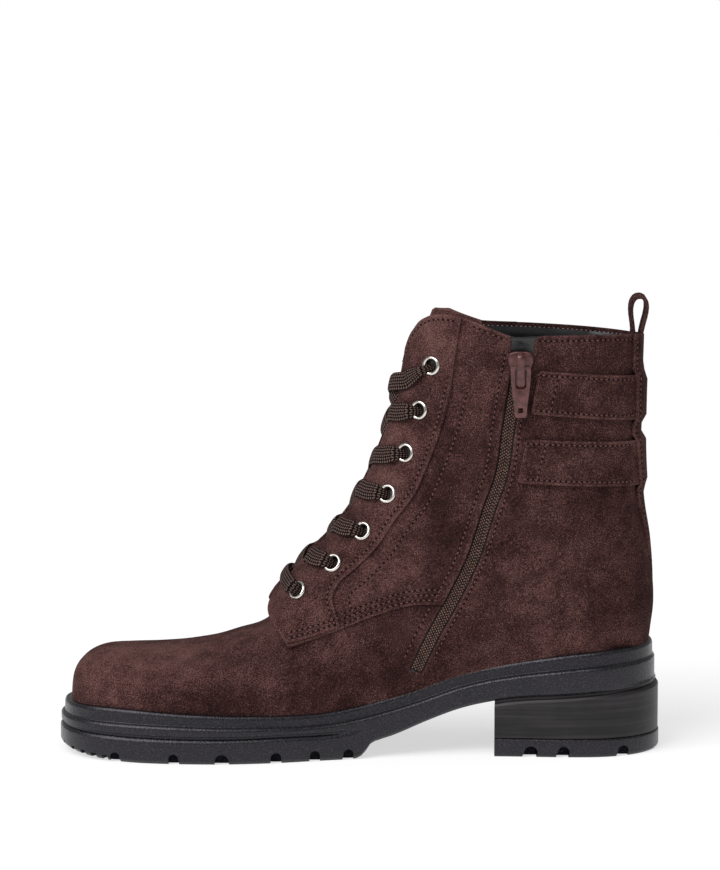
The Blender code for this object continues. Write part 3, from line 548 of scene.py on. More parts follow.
def mesh_object(name, points, faces, finish, sharp=45):
    """A smooth-shaded mesh object from points in millimetres."""
    mesh = bpy.data.meshes.new(name)
    mesh.from_pydata(np.asarray(points, float) * MM, [], faces)
    mesh.validate()
    bm = bmesh.new()
    bm.from_mesh(mesh)
    bmesh.ops.remove_doubles(bm, verts=bm.verts, dist=1e-6)
    bmesh.ops.recalc_face_normals(bm, faces=bm.faces)
    bm.to_mesh(mesh)
    bm.free()
    mesh.shade_smooth()
    mesh.set_sharp_from_angle(angle=math.radians(sharp))
    mesh.materials.append(finish)
    obj = bpy.data.objects.new(name, mesh)
    bpy.context.scene.collection.objects.link(obj)
    return obj


PANEL_STEP = (0.17, 0.036)
PANEL_SCALE = np.array((13.0, 60.0))
SEAM_DEPTH = 0.3
SEAM_HALF_WIDTH = 1.2


def panel(name, loop, layer, finish, seams=(), holes=(), lift=None, rounding=0.5):
    """A sewn piece of leather on the last: its outline, its two faces' heights, sewn lines and holes."""
    low, high = layer
    loops = [loop, *holes]
    points = [*loops]
    for edge in loops:
        for depth in (0.3 * rounding, 1.0 * rounding, 2.2 * rounding):
            points += [shifted(edge, depth, True), shifted(edge, -depth, True)]
    for seam in seams:
        points.append(seam)
        for aside in (-1.0, -0.5, 0.5, 1.0):
            points.append(shifted(seam, aside * SEAM_HALF_WIDTH))
    fixed = np.concatenate(loops)
    loose = np.concatenate(points[len(loops):])
    low_u, low_v = loop.min(0)
    high_u, high_v = loop.max(0)
    grid_u, grid_v = np.meshgrid(
        np.arange(low_u, high_u, PANEL_STEP[0]), np.arange(low_v, high_v, PANEL_STEP[1])
    )
    grid = np.stack([grid_u.ravel(), grid_v.ravel()], 1)
    grid = grid[inside(grid, loop)]
    near = distance_to([*loops, *seams], last_point(grid[:, 0], grid[:, 1]))
    loose = np.concatenate([loose, grid[near > 1.5]])
    keep = inside(loose, loop)
    for hole in holes:
        keep &= ~inside(loose, hole)
    loose = loose[keep]
    loose = loose[distance_to(loops, last_point(loose[:, 0], loose[:, 1])) > 0.1]
    places = np.concatenate([fixed, loose]) * PANEL_SCALE
    edges = []
    start = 0
    for edge in loops:
        count = len(edge)
        edges += [(start + i, start + (i + 1) % count) for i in range(count)]
        start += count
    cut = delaunay_2d_cdt([Vector(p) for p in places], edges, [], 0, 1e-4)
    uv = np.array([tuple(p) for p in cut[0]]) / PANEL_SCALE
    faces = np.array(cut[2])
    middle = uv[faces].mean(1)
    kept = inside(middle, loop)
    for hole in holes:
        kept &= ~inside(middle, hole)
    faces = faces[kept]

    base = last_point(uv[:, 0], uv[:, 1])
    to_edge = distance_to(loops, base)
    turn = 1 - np.clip(to_edge / rounding, 0, 1)
    height = high - rounding * (1 - np.sqrt(np.clip(1 - turn**2, 0, 1)))
    if seams:
        height = height - SEAM_DEPTH * (1 - fade(0, SEAM_HALF_WIDTH, distance_to(seams, base)))
    top = skin_points(uv, height, lift)
    bottom = skin_points(uv, np.full(len(uv), low), lift)
    count = len(uv)
    normals = np.cross(top[faces[:, 1]] - top[faces[:, 0]], top[faces[:, 2]] - top[faces[:, 0]])
    outward = tangents(middle[kept][:, 0], middle[kept][:, 1])[2]
    if (normals * outward).sum() < 0:
        faces = faces[:, ::-1]
    rim = {}
    for a, b, c in faces:
        for edge in ((a, b), (b, c), (c, a)):
            if edge[::-1] in rim:
                del rim[edge[::-1]]
            else:
                rim[edge] = True
    walls = [(b, a, a + count, b + count) for a, b in rim]
    solid_faces = [tuple(f) for f in faces] + [tuple(f[::-1] + count) for f in faces] + walls
    used = np.unique(faces)
    index = np.full(2 * count, -1)
    index[used] = np.arange(len(used))
    index[used + count] = np.arange(len(used)) + len(used)
    both = np.concatenate([top[used], bottom[used]])
    obj = mesh_object(name, both, [tuple(int(index[i]) for i in f) for f in solid_faces], finish)
    return obj


def linear(hex_code):
    """An sRGB hex colour as linear red, green, blue and alpha."""
    channels = [int(hex_code[i:i + 2], 16) / 255 for i in (1, 3, 5)]
    return (*((c / 12.92 if c <= 0.04045 else ((c + 0.055) / 1.055) ** 2.4) for c in channels), 1.0)


def add(tree, kind, inputs=None, **settings):
    """A new node in a tree; its inputs, by name or number, take a value or another node's output."""
    new = tree.nodes.new(kind)
    for name, value in settings.items():
        setattr(new, name, value)
    for key, value in (inputs or {}).items():
        socket = new.inputs[key]
        if isinstance(value, bpy.types.NodeSocket):
            tree.links.new(value, socket)
        else:
            socket.default_value = value
    return new


def new_finish(name, shader_inputs):
    """A material with one Principled shader whose constant inputs are set on its own sockets."""
    finish = bpy.data.materials.new(name)
    finish.use_nodes = True
    tree = finish.node_tree
    tree.nodes.clear()
    shader = add(tree, "ShaderNodeBsdfPrincipled", shader_inputs)
    add(tree, "ShaderNodeOutputMaterial", {"Surface": shader.outputs[0]})
    return finish, tree, shader


def per_mm(size):
    """Scale of a texture on Object coordinates, in metres, whose features are this many millimetres wide."""
    return 1 / (size * MM)


def brushed_suede(name, dark, middle, light):
    """Suede: split cowhide sanded to a short nap. The nap lies in soft brushed patches, with fine mottling
    and specks from tufts of fibre, and no gloss; painted light and shade come in through the tone attribute."""
    finish, tree, shader = new_finish(
        name,
        {
            "Roughness": 0.95,
            "IOR": 1.5,
            "Specular IOR Level": 0.08,
            "Sheen Weight": 0.06,
            "Sheen Roughness": 0.4,
            "Sheen Tint": linear("#8a6a66"),
        },
    )
    place = add(tree, "ShaderNodeTexCoord").outputs["Object"]
    cloud = add(
        tree, "ShaderNodeTexNoise", {"Vector": place, "Scale": per_mm(26), "Detail": 3.0, "Roughness": 0.5}
    )
    brushed = add(
        tree, "ShaderNodeTexNoise", {"Vector": place, "Scale": per_mm(9), "Detail": 4.0, "Roughness": 0.6}
    )
    # Fibres are about 0.05 mm wide; tufts of 0.5 mm are drawn, because finer ones would not show
    nap = add(
        tree, "ShaderNodeTexNoise", {"Vector": place, "Scale": per_mm(0.5), "Detail": 2.0, "Roughness": 0.7}
    )
    # The tone attribute: patches of the nap, painted light and shade, and a paler rim
    patch_tone = add(tree, "ShaderNodeAttribute", attribute_name="tone")
    # The three textures average a half each; this keeps the sum near one where the nap lies evenly
    sums = add(tree, "ShaderNodeMath", {0: patch_tone.outputs["Fac"], 1: 0.455}, operation="SUBTRACT").outputs[0]
    for texture, share in ((cloud, 0.4), (brushed, 0.58), (nap, 1.85)):
        inputs = {0: texture.outputs[0], 1: share, 2: sums}
        sums = add(tree, "ShaderNodeMath", inputs, operation="MULTIPLY_ADD").outputs[0]
    ramp = add(tree, "ShaderNodeValToRGB", {0: sums})
    points = ramp.color_ramp.elements
    points[0].position = 0.68
    points[0].color = linear(dark)
    points[1].position = 1.0
    points[1].color = linear(middle)
    # Above one, towards the tips of the nap, the colour goes on to the lighter tone
    over = add(tree, "ShaderNodeMapRange", {0: sums, 1: 1.0, 2: 1.36, 3: 0.0, 4: 1.0})
    tone = add(
        tree,
        "ShaderNodeMix",
        {0: over.outputs[0], 6: ramp.outputs[0], 7: linear(light)},
        data_type="RGBA",
    )
    tree.links.new(tone.outputs[2], shader.inputs["Base Color"])
    coarse = add(
        tree, "ShaderNodeBump", {"Height": brushed.outputs[0], "Strength": 0.2, "Distance": 0.7 * MM}
    )
    fine = add(
        tree,
        "ShaderNodeBump",
        {"Height": nap.outputs[0], "Normal": coarse.outputs[0], "Strength": 0.5, "Distance": 0.25 * MM},
    )
    tree.links.new(fine.outputs[0], shader.inputs["Normal"])
    return finish


def moulded_rubber():
    """Moulded thermoplastic rubber: black, satin from the mould's fine texture; its gloss is turned down in
    the notches as painted shade, so they read dark.
    """
    finish, tree, shader = new_finish(
        "black_moulded_rubber", {"IOR": 1.52, "Specular Tint": linear("#fbf5ff")}
    )
    place = add(tree, "ShaderNodeTexCoord").outputs["Object"]
    dust = add(
        tree, "ShaderNodeTexNoise", {"Vector": place, "Scale": per_mm(24), "Detail": 5.0, "Roughness": 0.6}
    )
    grain = add(
        tree, "ShaderNodeTexNoise", {"Vector": place, "Scale": per_mm(0.9), "Detail": 2.0, "Roughness": 0.6}
    )
    hollow = add(tree, "ShaderNodeAttribute", attribute_name="hollow")
    tone = add(tree, "ShaderNodeValToRGB", {0: dust.outputs[0]})
    tone.color_ramp.elements[0].position = 0.3
    tone.color_ramp.elements[0].color = linear("#07070a")
    tone.color_ramp.elements[1].position = 0.75
    tone.color_ramp.elements[1].color = linear("#111016")
    # Pale specks over the grain: painted glints, for the sparkle of light on the mould's texture
    specks = add(tree, "ShaderNodeTexNoise", {"Vector": place, "Scale": per_mm(0.5), "Detail": 1.0})
    shown = add(tree, "ShaderNodeMapRange", {0: specks.outputs[0], 1: 0.52, 2: 0.8, 3: 0.0, 4: 0.3})
    glint_specked = add(
        tree, "ShaderNodeMix", {0: shown.outputs[0], 6: tone.outputs[0], 7: linear("#6c6a6e")},
        data_type="RGBA",
    )
    tree.links.new(glint_specked.outputs[2], shader.inputs["Base Color"])
    # Painted shade: the faces in the notches reflect almost nothing
    gloss = add(tree, "ShaderNodeMapRange", {0: hollow.outputs["Fac"], 1: 0.0, 2: 1.0, 3: 0.4, 4: 0.04})
    tree.links.new(gloss.outputs[0], shader.inputs["Specular IOR Level"])
    dull = add(tree, "ShaderNodeMapRange", {0: grain.outputs[0], 1: 0.3, 2: 0.7, 3: 0.22, 4: 0.4})
    tree.links.new(dull.outputs[0], shader.inputs["Roughness"])
    bump = add(tree, "ShaderNodeBump", {"Height": grain.outputs[0], "Strength": 0.6, "Distance": 0.3 * MM})
    tree.links.new(bump.outputs[0], shader.inputs["Normal"])
    return finish


def stacked_board():
    """Heel stack: glued leather board, stained brown-black and waxed, with fine level lines."""
    finish, tree, shader = new_finish(
        "stained_heel_stack", {"IOR": 1.48, "Specular IOR Level": 0.4, "Roughness": 0.46}
    )
    place = add(tree, "ShaderNodeTexCoord").outputs["Object"]
    # Layers 1.5 mm thick: the pattern is stretched along the level and fine across it
    level = add(tree, "ShaderNodeMapping", {"Vector": place, "Scale": (0.025, 0.025, 1.0)})
    layers = add(
        tree, "ShaderNodeTexNoise",
        {"Vector": level.outputs[0], "Scale": per_mm(1.5), "Detail": 2.0, "Roughness": 0.5},
    )
    stain = add(tree, "ShaderNodeTexNoise", {"Vector": place, "Scale": per_mm(9), "Detail": 4.0})
    mixed = add(
        tree, "ShaderNodeMath", {0: stain.outputs[0], 1: 0.35, 2: layers.outputs[0]}, operation="MULTIPLY_ADD"
    )
    tone = add(tree, "ShaderNodeValToRGB", {0: mixed.outputs[0]})
    tone.color_ramp.elements[0].position = 0.54
    tone.color_ramp.elements[0].color = linear("#0c0b0c")
    tone.color_ramp.elements[1].position = 0.86
    tone.color_ramp.elements[1].color = linear("#282427")
    tree.links.new(tone.outputs[0], shader.inputs["Base Color"])
    bump = add(tree, "ShaderNodeBump", {"Height": layers.outputs[0], "Strength": 0.3, "Distance": 0.2 * MM})
    tree.links.new(bump.outputs[0], shader.inputs["Normal"])
    return finish


def smooth_lining():
    """Lining: smooth black pigmented leather with a fine pore grain and a soft gloss."""
    finish, tree, shader = new_finish(
        "black_lining_leather", {"IOR": 1.5, "Specular IOR Level": 0.6, "Roughness": 0.28}
    )
    place = add(tree, "ShaderNodeTexCoord").outputs["Object"]
    grain = add(tree, "ShaderNodeTexVoronoi", {"Vector": place, "Scale": per_mm(1.1)}, distance="EUCLIDEAN")
    patch = add(tree, "ShaderNodeTexNoise", {"Vector": place, "Scale": per_mm(20), "Detail": 3.0})
    tone = add(tree, "ShaderNodeValToRGB", {0: patch.outputs[0]})
    tone.color_ramp.elements[0].color = linear("#0a0a0c")
    tone.color_ramp.elements[1].color = linear("#131317")
    tree.links.new(tone.outputs[0], shader.inputs["Base Color"])
    bump = add(tree, "ShaderNodeBump", {"Height": grain.outputs[0], "Strength": 0.22, "Distance": 0.15 * MM})
    tree.links.new(bump.outputs[0], shader.inputs["Normal"])
    return finish


def sewing_thread(name, colour):
    """Sewing thread: bonded polyester, with a dull silky gloss."""
    finish, tree, shader = new_finish(
        name, {"Roughness": 0.7, "IOR": 1.5, "Specular IOR Level": 0.12}
    )
    place = add(tree, "ShaderNodeTexCoord").outputs["Object"]
    uneven = add(tree, "ShaderNodeTexNoise", {"Vector": place, "Scale": per_mm(2.2), "Detail": 2.0})
    tone = add(tree, "ShaderNodeHueSaturation", {"Color": linear(colour)})
    value = add(tree, "ShaderNodeMapRange", {0: uneven.outputs[0], 1: 0.3, 2: 0.7, 3: 0.75, 4: 1.3})
    tree.links.new(value.outputs[0], tone.inputs["Value"])
    tree.links.new(tone.outputs[0], shader.inputs["Base Color"])
    return finish


def woven_lace():
    """Flat lace: cotton braid woven in a herringbone, with six ribs across its width and slack gaps; the
    colour darkens with the weave's depth, as painted shade in the gaps between threads.
    """
    finish, tree, shader = new_finish(
        "woven_flat_lace", {"Roughness": 0.8, "IOR": 1.5, "Specular IOR Level": 0.1}
    )
    # The map's first axis counts ribs across the lace and its second one threads of 1.6 mm along it
    ribs = add(tree, "ShaderNodeSeparateXYZ", {0: add(tree, "ShaderNodeUVMap", uv_map="weave").outputs[0]})
    zigzag = add(tree, "ShaderNodeMath", {0: ribs.outputs[0], 1: 1.0}, operation="PINGPONG")
    slant = add(
        tree, "ShaderNodeMath", {0: zigzag.outputs[0], 1: 0.55, 2: ribs.outputs[1]},
        operation="MULTIPLY_ADD"
    )
    turn = add(tree, "ShaderNodeMath", {0: slant.outputs[0], 1: math.tau}, operation="MULTIPLY")
    thread = add(tree, "ShaderNodeMath", {0: turn.outputs[0]}, operation="SINE")
    crown = add(tree, "ShaderNodeMath", {0: ribs.outputs[0], 1: math.pi}, operation="MULTIPLY")
    crown = add(tree, "ShaderNodeMath", {0: crown.outputs[0]}, operation="SINE")
    crown = add(tree, "ShaderNodeMath", {0: crown.outputs[0]}, operation="ABSOLUTE")
    height = add(
        tree, "ShaderNodeMath", {0: thread.outputs[0], 1: 0.42, 2: crown.outputs[0]},
        operation="MULTIPLY_ADD"
    )
    # Painted shade: the lower the weave, the darker its colour
    tone = add(tree, "ShaderNodeValToRGB", {0: height.outputs[0]})
    tone.color_ramp.elements[0].position = 0.3
    tone.color_ramp.elements[0].color = linear("#070404")
    tone.color_ramp.elements[1].position = 1.0
    tone.color_ramp.elements[1].color = linear("#6b554f")
    tone.color_ramp.elements.new(0.76).color = linear("#1a1110")
    tree.links.new(tone.outputs[0], shader.inputs["Base Color"])
    bump = add(tree, "ShaderNodeBump", {"Height": height.outputs[0], "Strength": 0.7, "Distance": 0.4 * MM})
    tree.links.new(bump.outputs[0], shader.inputs["Normal"])
    return finish


def plated_eyelet():
    """Eyelet: brass pressed and plated in pale nickel, polished, with faint wear marks."""
    finish, tree, shader = new_finish("pale_nickel_plate", {"Metallic": 1.0})
    place = add(tree, "ShaderNodeTexCoord").outputs["Object"]
    marks = add(tree, "ShaderNodeTexNoise", {"Vector": place, "Scale": per_mm(1.4), "Detail": 4.0})
    tone = add(tree, "ShaderNodeValToRGB", {0: marks.outputs[0]})
    tone.color_ramp.elements[0].color = linear("#c9c2b4")
    tone.color_ramp.elements[1].color = linear("#f0eeea")
    tree.links.new(tone.outputs[0], shader.inputs["Base Color"])
    dull = add(tree, "ShaderNodeMapRange", {0: marks.outputs[0], 1: 0.3, 2: 0.7, 3: 0.08, 4: 0.2})
    tree.links.new(dull.outputs[0], shader.inputs["Roughness"])
    return finish


def lacquered_zinc():
    """Slider and tab: die-cast zinc under a satin brown lacquer, worn a little brighter in patches."""
    finish, tree, shader = new_finish(
        "brown_lacquered_zinc", {"Metallic": 0.3, "Coat Weight": 0.4, "Coat Roughness": 0.12, "IOR": 1.5}
    )
    place = add(tree, "ShaderNodeTexCoord").outputs["Object"]
    patch_tone = add(tree, "ShaderNodeTexNoise", {"Vector": place, "Scale": per_mm(3.0), "Detail": 5.0})
    tone = add(tree, "ShaderNodeValToRGB", {0: patch_tone.outputs[0]})
    tone.color_ramp.elements[0].position = 0.35
    tone.color_ramp.elements[0].color = linear("#43211f")
    tone.color_ramp.elements[1].position = 0.75
    tone.color_ramp.elements[1].color = linear("#70423f")
    tree.links.new(tone.outputs[0], shader.inputs["Base Color"])
    dull = add(tree, "ShaderNodeMapRange", {0: patch_tone.outputs[0], 1: 0.3, 2: 0.7, 3: 0.3, 4: 0.45})
    tree.links.new(dull.outputs[0], shader.inputs["Roughness"])
    return finish


def woven_tape():
    """Zip tape: brown polyester, woven in a fine twill."""
    finish, tree, shader = new_finish(
        "brown_zip_tape", {"Roughness": 0.8, "IOR": 1.5, "Specular IOR Level": 0.3}
    )
    place = add(tree, "ShaderNodeTexCoord").outputs["Object"]
    # Threads are about 0.3 mm wide; 0.7 mm is drawn, because finer ones would not show
    twill = add(
        tree, "ShaderNodeTexWave", {"Vector": place, "Scale": per_mm(0.7) / 20, "Distortion": 0.6},
        bands_direction="DIAGONAL",
    )
    tone = add(tree, "ShaderNodeValToRGB", {0: twill.outputs["Fac"]})
    tone.color_ramp.elements[0].color = linear("#150d0c")
    tone.color_ramp.elements[1].color = linear("#281a17")
    tree.links.new(tone.outputs[0], shader.inputs["Base Color"])
    bump = add(
        tree, "ShaderNodeBump", {"Height": twill.outputs["Fac"], "Strength": 0.3, "Distance": 0.15 * MM}
    )
    tree.links.new(bump.outputs[0], shader.inputs["Normal"])
    return finish


THREAD_FINISH = sewing_thread("brown_sewing_thread", "#62433e")
NEEDLE_HOLE_FINISH = sewing_thread("shaded_needle_holes", "#100808")
# Pale grey thread for the row inside the collar; partly painted highlight, lightened for the gloss along the
# lining
PALE_THREAD_AND_HIGHLIGHT_FINISH = sewing_thread("grey_thread_with_painted_highlight", "#8f8c92")
COIL_FINISH = sewing_thread("light_brown_zip_coil", "#745a50")
LACE_FINISH = woven_lace()
EYELET_FINISH = plated_eyelet()
ZINC_FINISH = lacquered_zinc()
TAPE_FINISH = woven_tape()
SUEDE_FINISH = brushed_suede("brown_brushed_suede", "#1e100f", "#3a2423", "#70504c")
RUBBER_FINISH = moulded_rubber()
STACK_FINISH = stacked_board()
LINING_FINISH = smooth_lining()


# Where the nap lies lighter or darker, partly painted light and shade: lighter on the toe, the top of the
# facing and the heel, more so on the lit medial side, and darker low by the sole and in front of the zip.
# Columns: x, y, z of the middle, three half-widths and the change of tone
NAP_AND_LIGHT_PATCHES = (
    (-112, -24, 38, 30, 34, 24, 0.17),
    (-78, -16, 44, 34, 34, 16, 0.15),
    (36, -22, 196, 18, 30, 20, 0.21),
    (16, -20, 132, 16, 26, 40, 0.15),
    (-20, -22, 70, 24, 30, 22, 0.12),
    (78, -36, 71, 13, 20, 8, 0.12),
    (104, -34, 54, 26, 20, 7, 0.10),
    (66, -34, 48, 22, 16, 8, 0.09),
    (112, -30, 170, 26, 30, 12, 0.04),
    (-60, -45, 26, 70, 20, 8, -0.10),
    (36, -30, 126, 16, 30, 50, -0.10),
    (8, -34, 42, 44, 20, 18, -0.09),
    (98, 34, 66, 20, 20, 12, 0.10),
    (-112, 24, 38, 30, 34, 24, 0.08),
    (36, 22, 192, 18, 30, 20, 0.08),
    (-60, 45, 26, 70, 20, 8, -0.10),
    (60, 34, 52, 26, 16, 12, 0.06),
)


EDGE_TONE = 0.13


def give_nap_and_painted_light(obj, rim=()):
    """Write how light the nap lies at each point of a suede piece, painted light and shade included, as the
    attribute that its finish reads; it is paler along the rim, fading out 1.5 mm in."""
    mesh = obj.data
    flat = np.empty(3 * len(mesh.vertices))
    mesh.vertices.foreach_get("co", flat)
    points = flat.reshape(-1, 3) / MM
    tone = np.zeros(len(points))
    for row in NAP_AND_LIGHT_PATCHES:
        away = (points - row[:3]) / row[3:6]
        tone += row[6] * np.exp(-(away**2).sum(1))
    if len(rim):
        tree = KDTree(len(rim))
        for i, place in enumerate(rim):
            tree.insert(place, i)
        tree.balance()
        away = np.array([tree.find(point)[2] for point in points])
        tone += EDGE_TONE * (1 - fade(0.5, 1.5, away))
    layer = mesh.attributes.new("tone", "FLOAT", "POINT")
    layer.data.foreach_set("value", tone)
    return obj


def on_boot(piece, slot, *nodes):
    """Let a piece ride on the boot and stand for solids of the frame; the finish slot given is not used."""
    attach(piece, "boot")
    if nodes:
        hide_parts(*nodes)
    return piece


def suede_panel(name, loop, layer, nodes, **details):
    piece = panel(name, loop, layer, SUEDE_FINISH, **details)
    between = (loop + np.roll(loop, -1, 0)) / 2
    edge = np.concatenate([loop, between])
    rim = skin_points(edge, np.full(len(edge), layer[1] - 0.2), details.get("lift"))
    return on_boot(give_nap_and_painted_light(piece, rim), "suede", *nodes)


# Lines of the upper on the medial side, as (u, v)
ZIP_MIDDLE = through(ZIP_LINE)
ZIP_FRONT = moved_aside(ZIP_MIDDLE, -ZIP_HALF_WIDTH)
ZIP_REAR = moved_aside(ZIP_MIDDLE, ZIP_HALF_WIDTH)
THROAT_FOOT_U = 11.75


def until(line, keep):
    """The part of a line on the last, before its first point that fails a test on points in space."""
    passed = keep(last_point(line[:, 0], line[:, 1]))
    return line[: len(line) if passed.all() else int(np.argmin(passed))]


def to_side(line, side):
    """A line of the medial side as it is, or on the lateral side round the front."""
    return line if side < 0 else over_front(line)


def throat_edge(side):
    line = to_side(gap_line(THROAT_FOOT_U, 27.0, THROAT_HALF_GAP), side)
    return until(line, lambda p: over_collar(p) < 0)


SEAM_FOOT = side_line(SIDE_SEAM_FOOT)
SOLE_MEDIAL = sole_line(135.2, -135.66)


def collar_between(x_from, x_to, side, drop=0.0):
    """The collar's line on one side between two x, from the front backwards."""
    line = collar_line(float(throat_edge(side)[-1, 1]), 0.0 if side < 0 else 4.0, drop)
    x = last_point(line[:, 0], line[:, 1])[:, 0]
    return line[(x > x_from) & (x < x_to)]


def sole_between(x_from, x_to):
    """The foot of the upper on the medial side, from its heel end to its toe end."""
    x = last_point(SOLE_MEDIAL[:, 0], SOLE_MEDIAL[:, 1])[:, 0]
    return SOLE_MEDIAL[(x < x_from) & (x > x_to)]


def under_sole_top(points):
    """How far points lie above the line where the upper goes into the sole."""
    return points[..., 2] - line_height(SOLE_TOP, points[..., 0]) + 0.9


def vamp_loop():
    foot = sole_between(22.2, -133.0)
    start = float(foot[-1, 1]) + 0.02
    toe = level_line(np.linspace(start, 4 - start, 120), under_sole_top, -1.0)
    zip_part = ZIP_FRONT[ZIP_FRONT[:, 1] < 76.0]
    medial_edge = np.concatenate([side_line(zip_part), place_on_side([(25.0, 39.2)]), SEAM_FOOT[2:]])
    lateral_zip = ZIP_MIDDLE[ZIP_MIDDLE[:, 1] < 76.0]
    lateral_edge = np.concatenate([side_line(lateral_zip), SEAM_FOOT[1:]])
    hidden = side_line([(38, 77), (24, 82), (4, 76), (-12, 71), (-22, 72), (-28, 80)])
    return closed_loop(
        foot,
        toe,
        over_front(foot)[::-1],
        over_front(lateral_edge)[::-1],
        over_front(hidden),
        hidden[::-1],
        medial_edge,
    )


def lower_seam(rise=0.0, x_to=60.0):
    rows = np.array(LOWER_SEAM, float) + (0, rise)
    line = through(rows)
    return place_on_skin(line[line[:, 0] < x_to], QUARTER[1], facing_lift)


def tab_front(start, side):
    """The rounded front edge of the facing's foot, from the lower seam up to the throat."""
    end = throat_edge(side)[0]
    t = np.linspace(0, 1, 24)[1:-1, None]
    bend = np.array((11.15, end[1] + 0.05 * side))
    return start * (1 - t) ** 2 + 2 * bend * t * (1 - t) + end * t**2


def front_quarter_loop(side):
    if side < 0:
        on_zip = (ZIP_FRONT[:, 1] > 73.4) & (ZIP_FRONT[:, 1] < 184)
        rear = np.concatenate([[(69.6, 195), (69.5, 189.6), (70.2, 186)], ZIP_FRONT[on_zip]])
    else:
        rear = ZIP_MIDDLE[(ZIP_MIDDLE[:, 1] > 73.4) & (ZIP_MIDDLE[:, 1] < 190.2)]
    seam = to_side(lower_seam()[::-1], side)
    collar = collar_between(0, 69.6 if side < 0 else 75.6, side)
    return closed_loop(
        throat_edge(side), collar, to_side(side_line(rear), side), seam, tab_front(seam[-1], side)
    )


def eyestay_loop(side):
    rear = to_side(place_on_skin(through(EYESTAY_REAR[1:-1]), EYESTAY[1], facing_lift), side)
    seam = to_side(lower_seam(1.2, -9.2)[::-1], side)
    rear = until(rear[::-1], lambda p: over_collar(p) < -0.5)[::-1]
    return closed_loop(
        throat_edge(side), collar_between(0, 48.0, side), rear, seam, tab_front(seam[-1], side)
    )


def rear_quarter_loop():
    notch = side_line([(78.8, 186.4), (80.2, 189.6), (80.6, 192.6), (80.9, 195.6)])
    zip_edge = side_line(ZIP_REAR[ZIP_REAR[:, 1] < 184][::-1])
    medial = np.concatenate([SEAM_FOOT[::-1], place_on_side([(27.2, 39.8)]), zip_edge, notch])
    hidden = over_back(np.concatenate([side_line(moved_aside(ZIP_MIDDLE, -8.0)), SEAM_FOOT]))
    lateral = collar_between(67.0, 200, 1)[::-1] - (0, 4)
    foot = sole_between(200, 22.2)
    return closed_loop(medial, collar_between(82.2, 200, -1), lateral, hidden, over_back(foot)[::-1], foot)


def lining_loop():
    low = 12.0
    throats = [throat_edge(side) for side in (-1, 1)]
    throats = [line[line[:, 0] > low] for line in throats]
    collars = [collar_between(0, 200, side, 0.3) for side in (-1, 1)]
    foot = SOLE_MEDIAL[SOLE_MEDIAL[:, 0] > low]
    around = (0, 4)
    return closed_loop(
        throats[0],
        collars[0],
        collars[1][::-1] - around,
        throats[1][::-1] - around,
        over_back(foot)[::-1],
        foot,
    )


def strap_loop(row, side):
    _, front_x, top, foot, back_top, back_foot = row
    share = np.linspace(0, (128.6 - front_x) / (STRAP_BACK_X - front_x), 40)
    x = front_x + (STRAP_BACK_X - front_x) * share
    upper = place_on_side(np.stack([x, top + (back_top - top) * share], 1))
    lower = place_on_side(np.stack([x, foot + (back_foot - foot) * share], 1))
    upper = upper[upper[:, 1] > 0.12]
    lower = lower[lower[:, 1] > 0.12]
    lean = STRAP_LEAN / 2
    corners = [(front_x - lean + 0.5, foot + 0.2), (front_x - lean, foot + 1.2), (front_x + lean, top - 1.2),
               (front_x + lean + 0.5, top - 0.2)]
    loop = closed_loop(upper[4:], lower[::-1], place_on_side(corners))
    return loop if side < 0 else over_back(loop)


def backstay_loop():
    u = np.linspace(17.0, LAST_SECTION, 300)
    back = last_point(u, np.zeros(len(u)))
    rows = np.array(BACKSTAY_EDGE, float)
    keep = (back[:, 2] > rows[0, 0]) & (over_collar(back) < 0)
    u, back = u[keep], back[keep]
    half = np.interp(back[:, 2], rows[:, 0], rows[:, 1])
    low = np.zeros(len(u))
    high = np.full(len(u), 0.9)
    for _ in range(30):
        middle = (low + high) / 2
        wide = -last_point(u, middle)[:, 1] > half
        high = np.where(wide, middle, high)
        low = np.where(wide, low, middle)
    edge = np.stack([u, low], 1)
    edge = until(edge, lambda p: over_collar(p) < 0)
    top = collar_line(float(edge[-1, 1]), -float(edge[-1, 1]))
    return closed_loop(edge, top, over_back(edge)[::-1])


def tongue_loop():
    def above(p):
        lower = 0.16 * np.maximum(p[..., 1] + 8, 0) + 0.27 * np.maximum(p[..., 0] - 36, 0)
        return p[..., 2] - TONGUE_TOP_Z + lower

    def below_top(p):
        return above(p) < -1.0

    edge = until(gap_line(10.2, 27.8, 25.8), below_top)
    far_edge = until(over_front(gap_line(10.2, 27.8, 25.8)), below_top)
    top = level_line(np.linspace(edge[-1, 1] + 0.01, far_edge[-1, 1] - 0.01, 80), above)
    return closed_loop(edge, top, far_edge[::-1])


def within(line, test):
    """The points of a line on the last that pass a test on points in space."""
    return line[test(last_point(line[:, 0], line[:, 1]))]


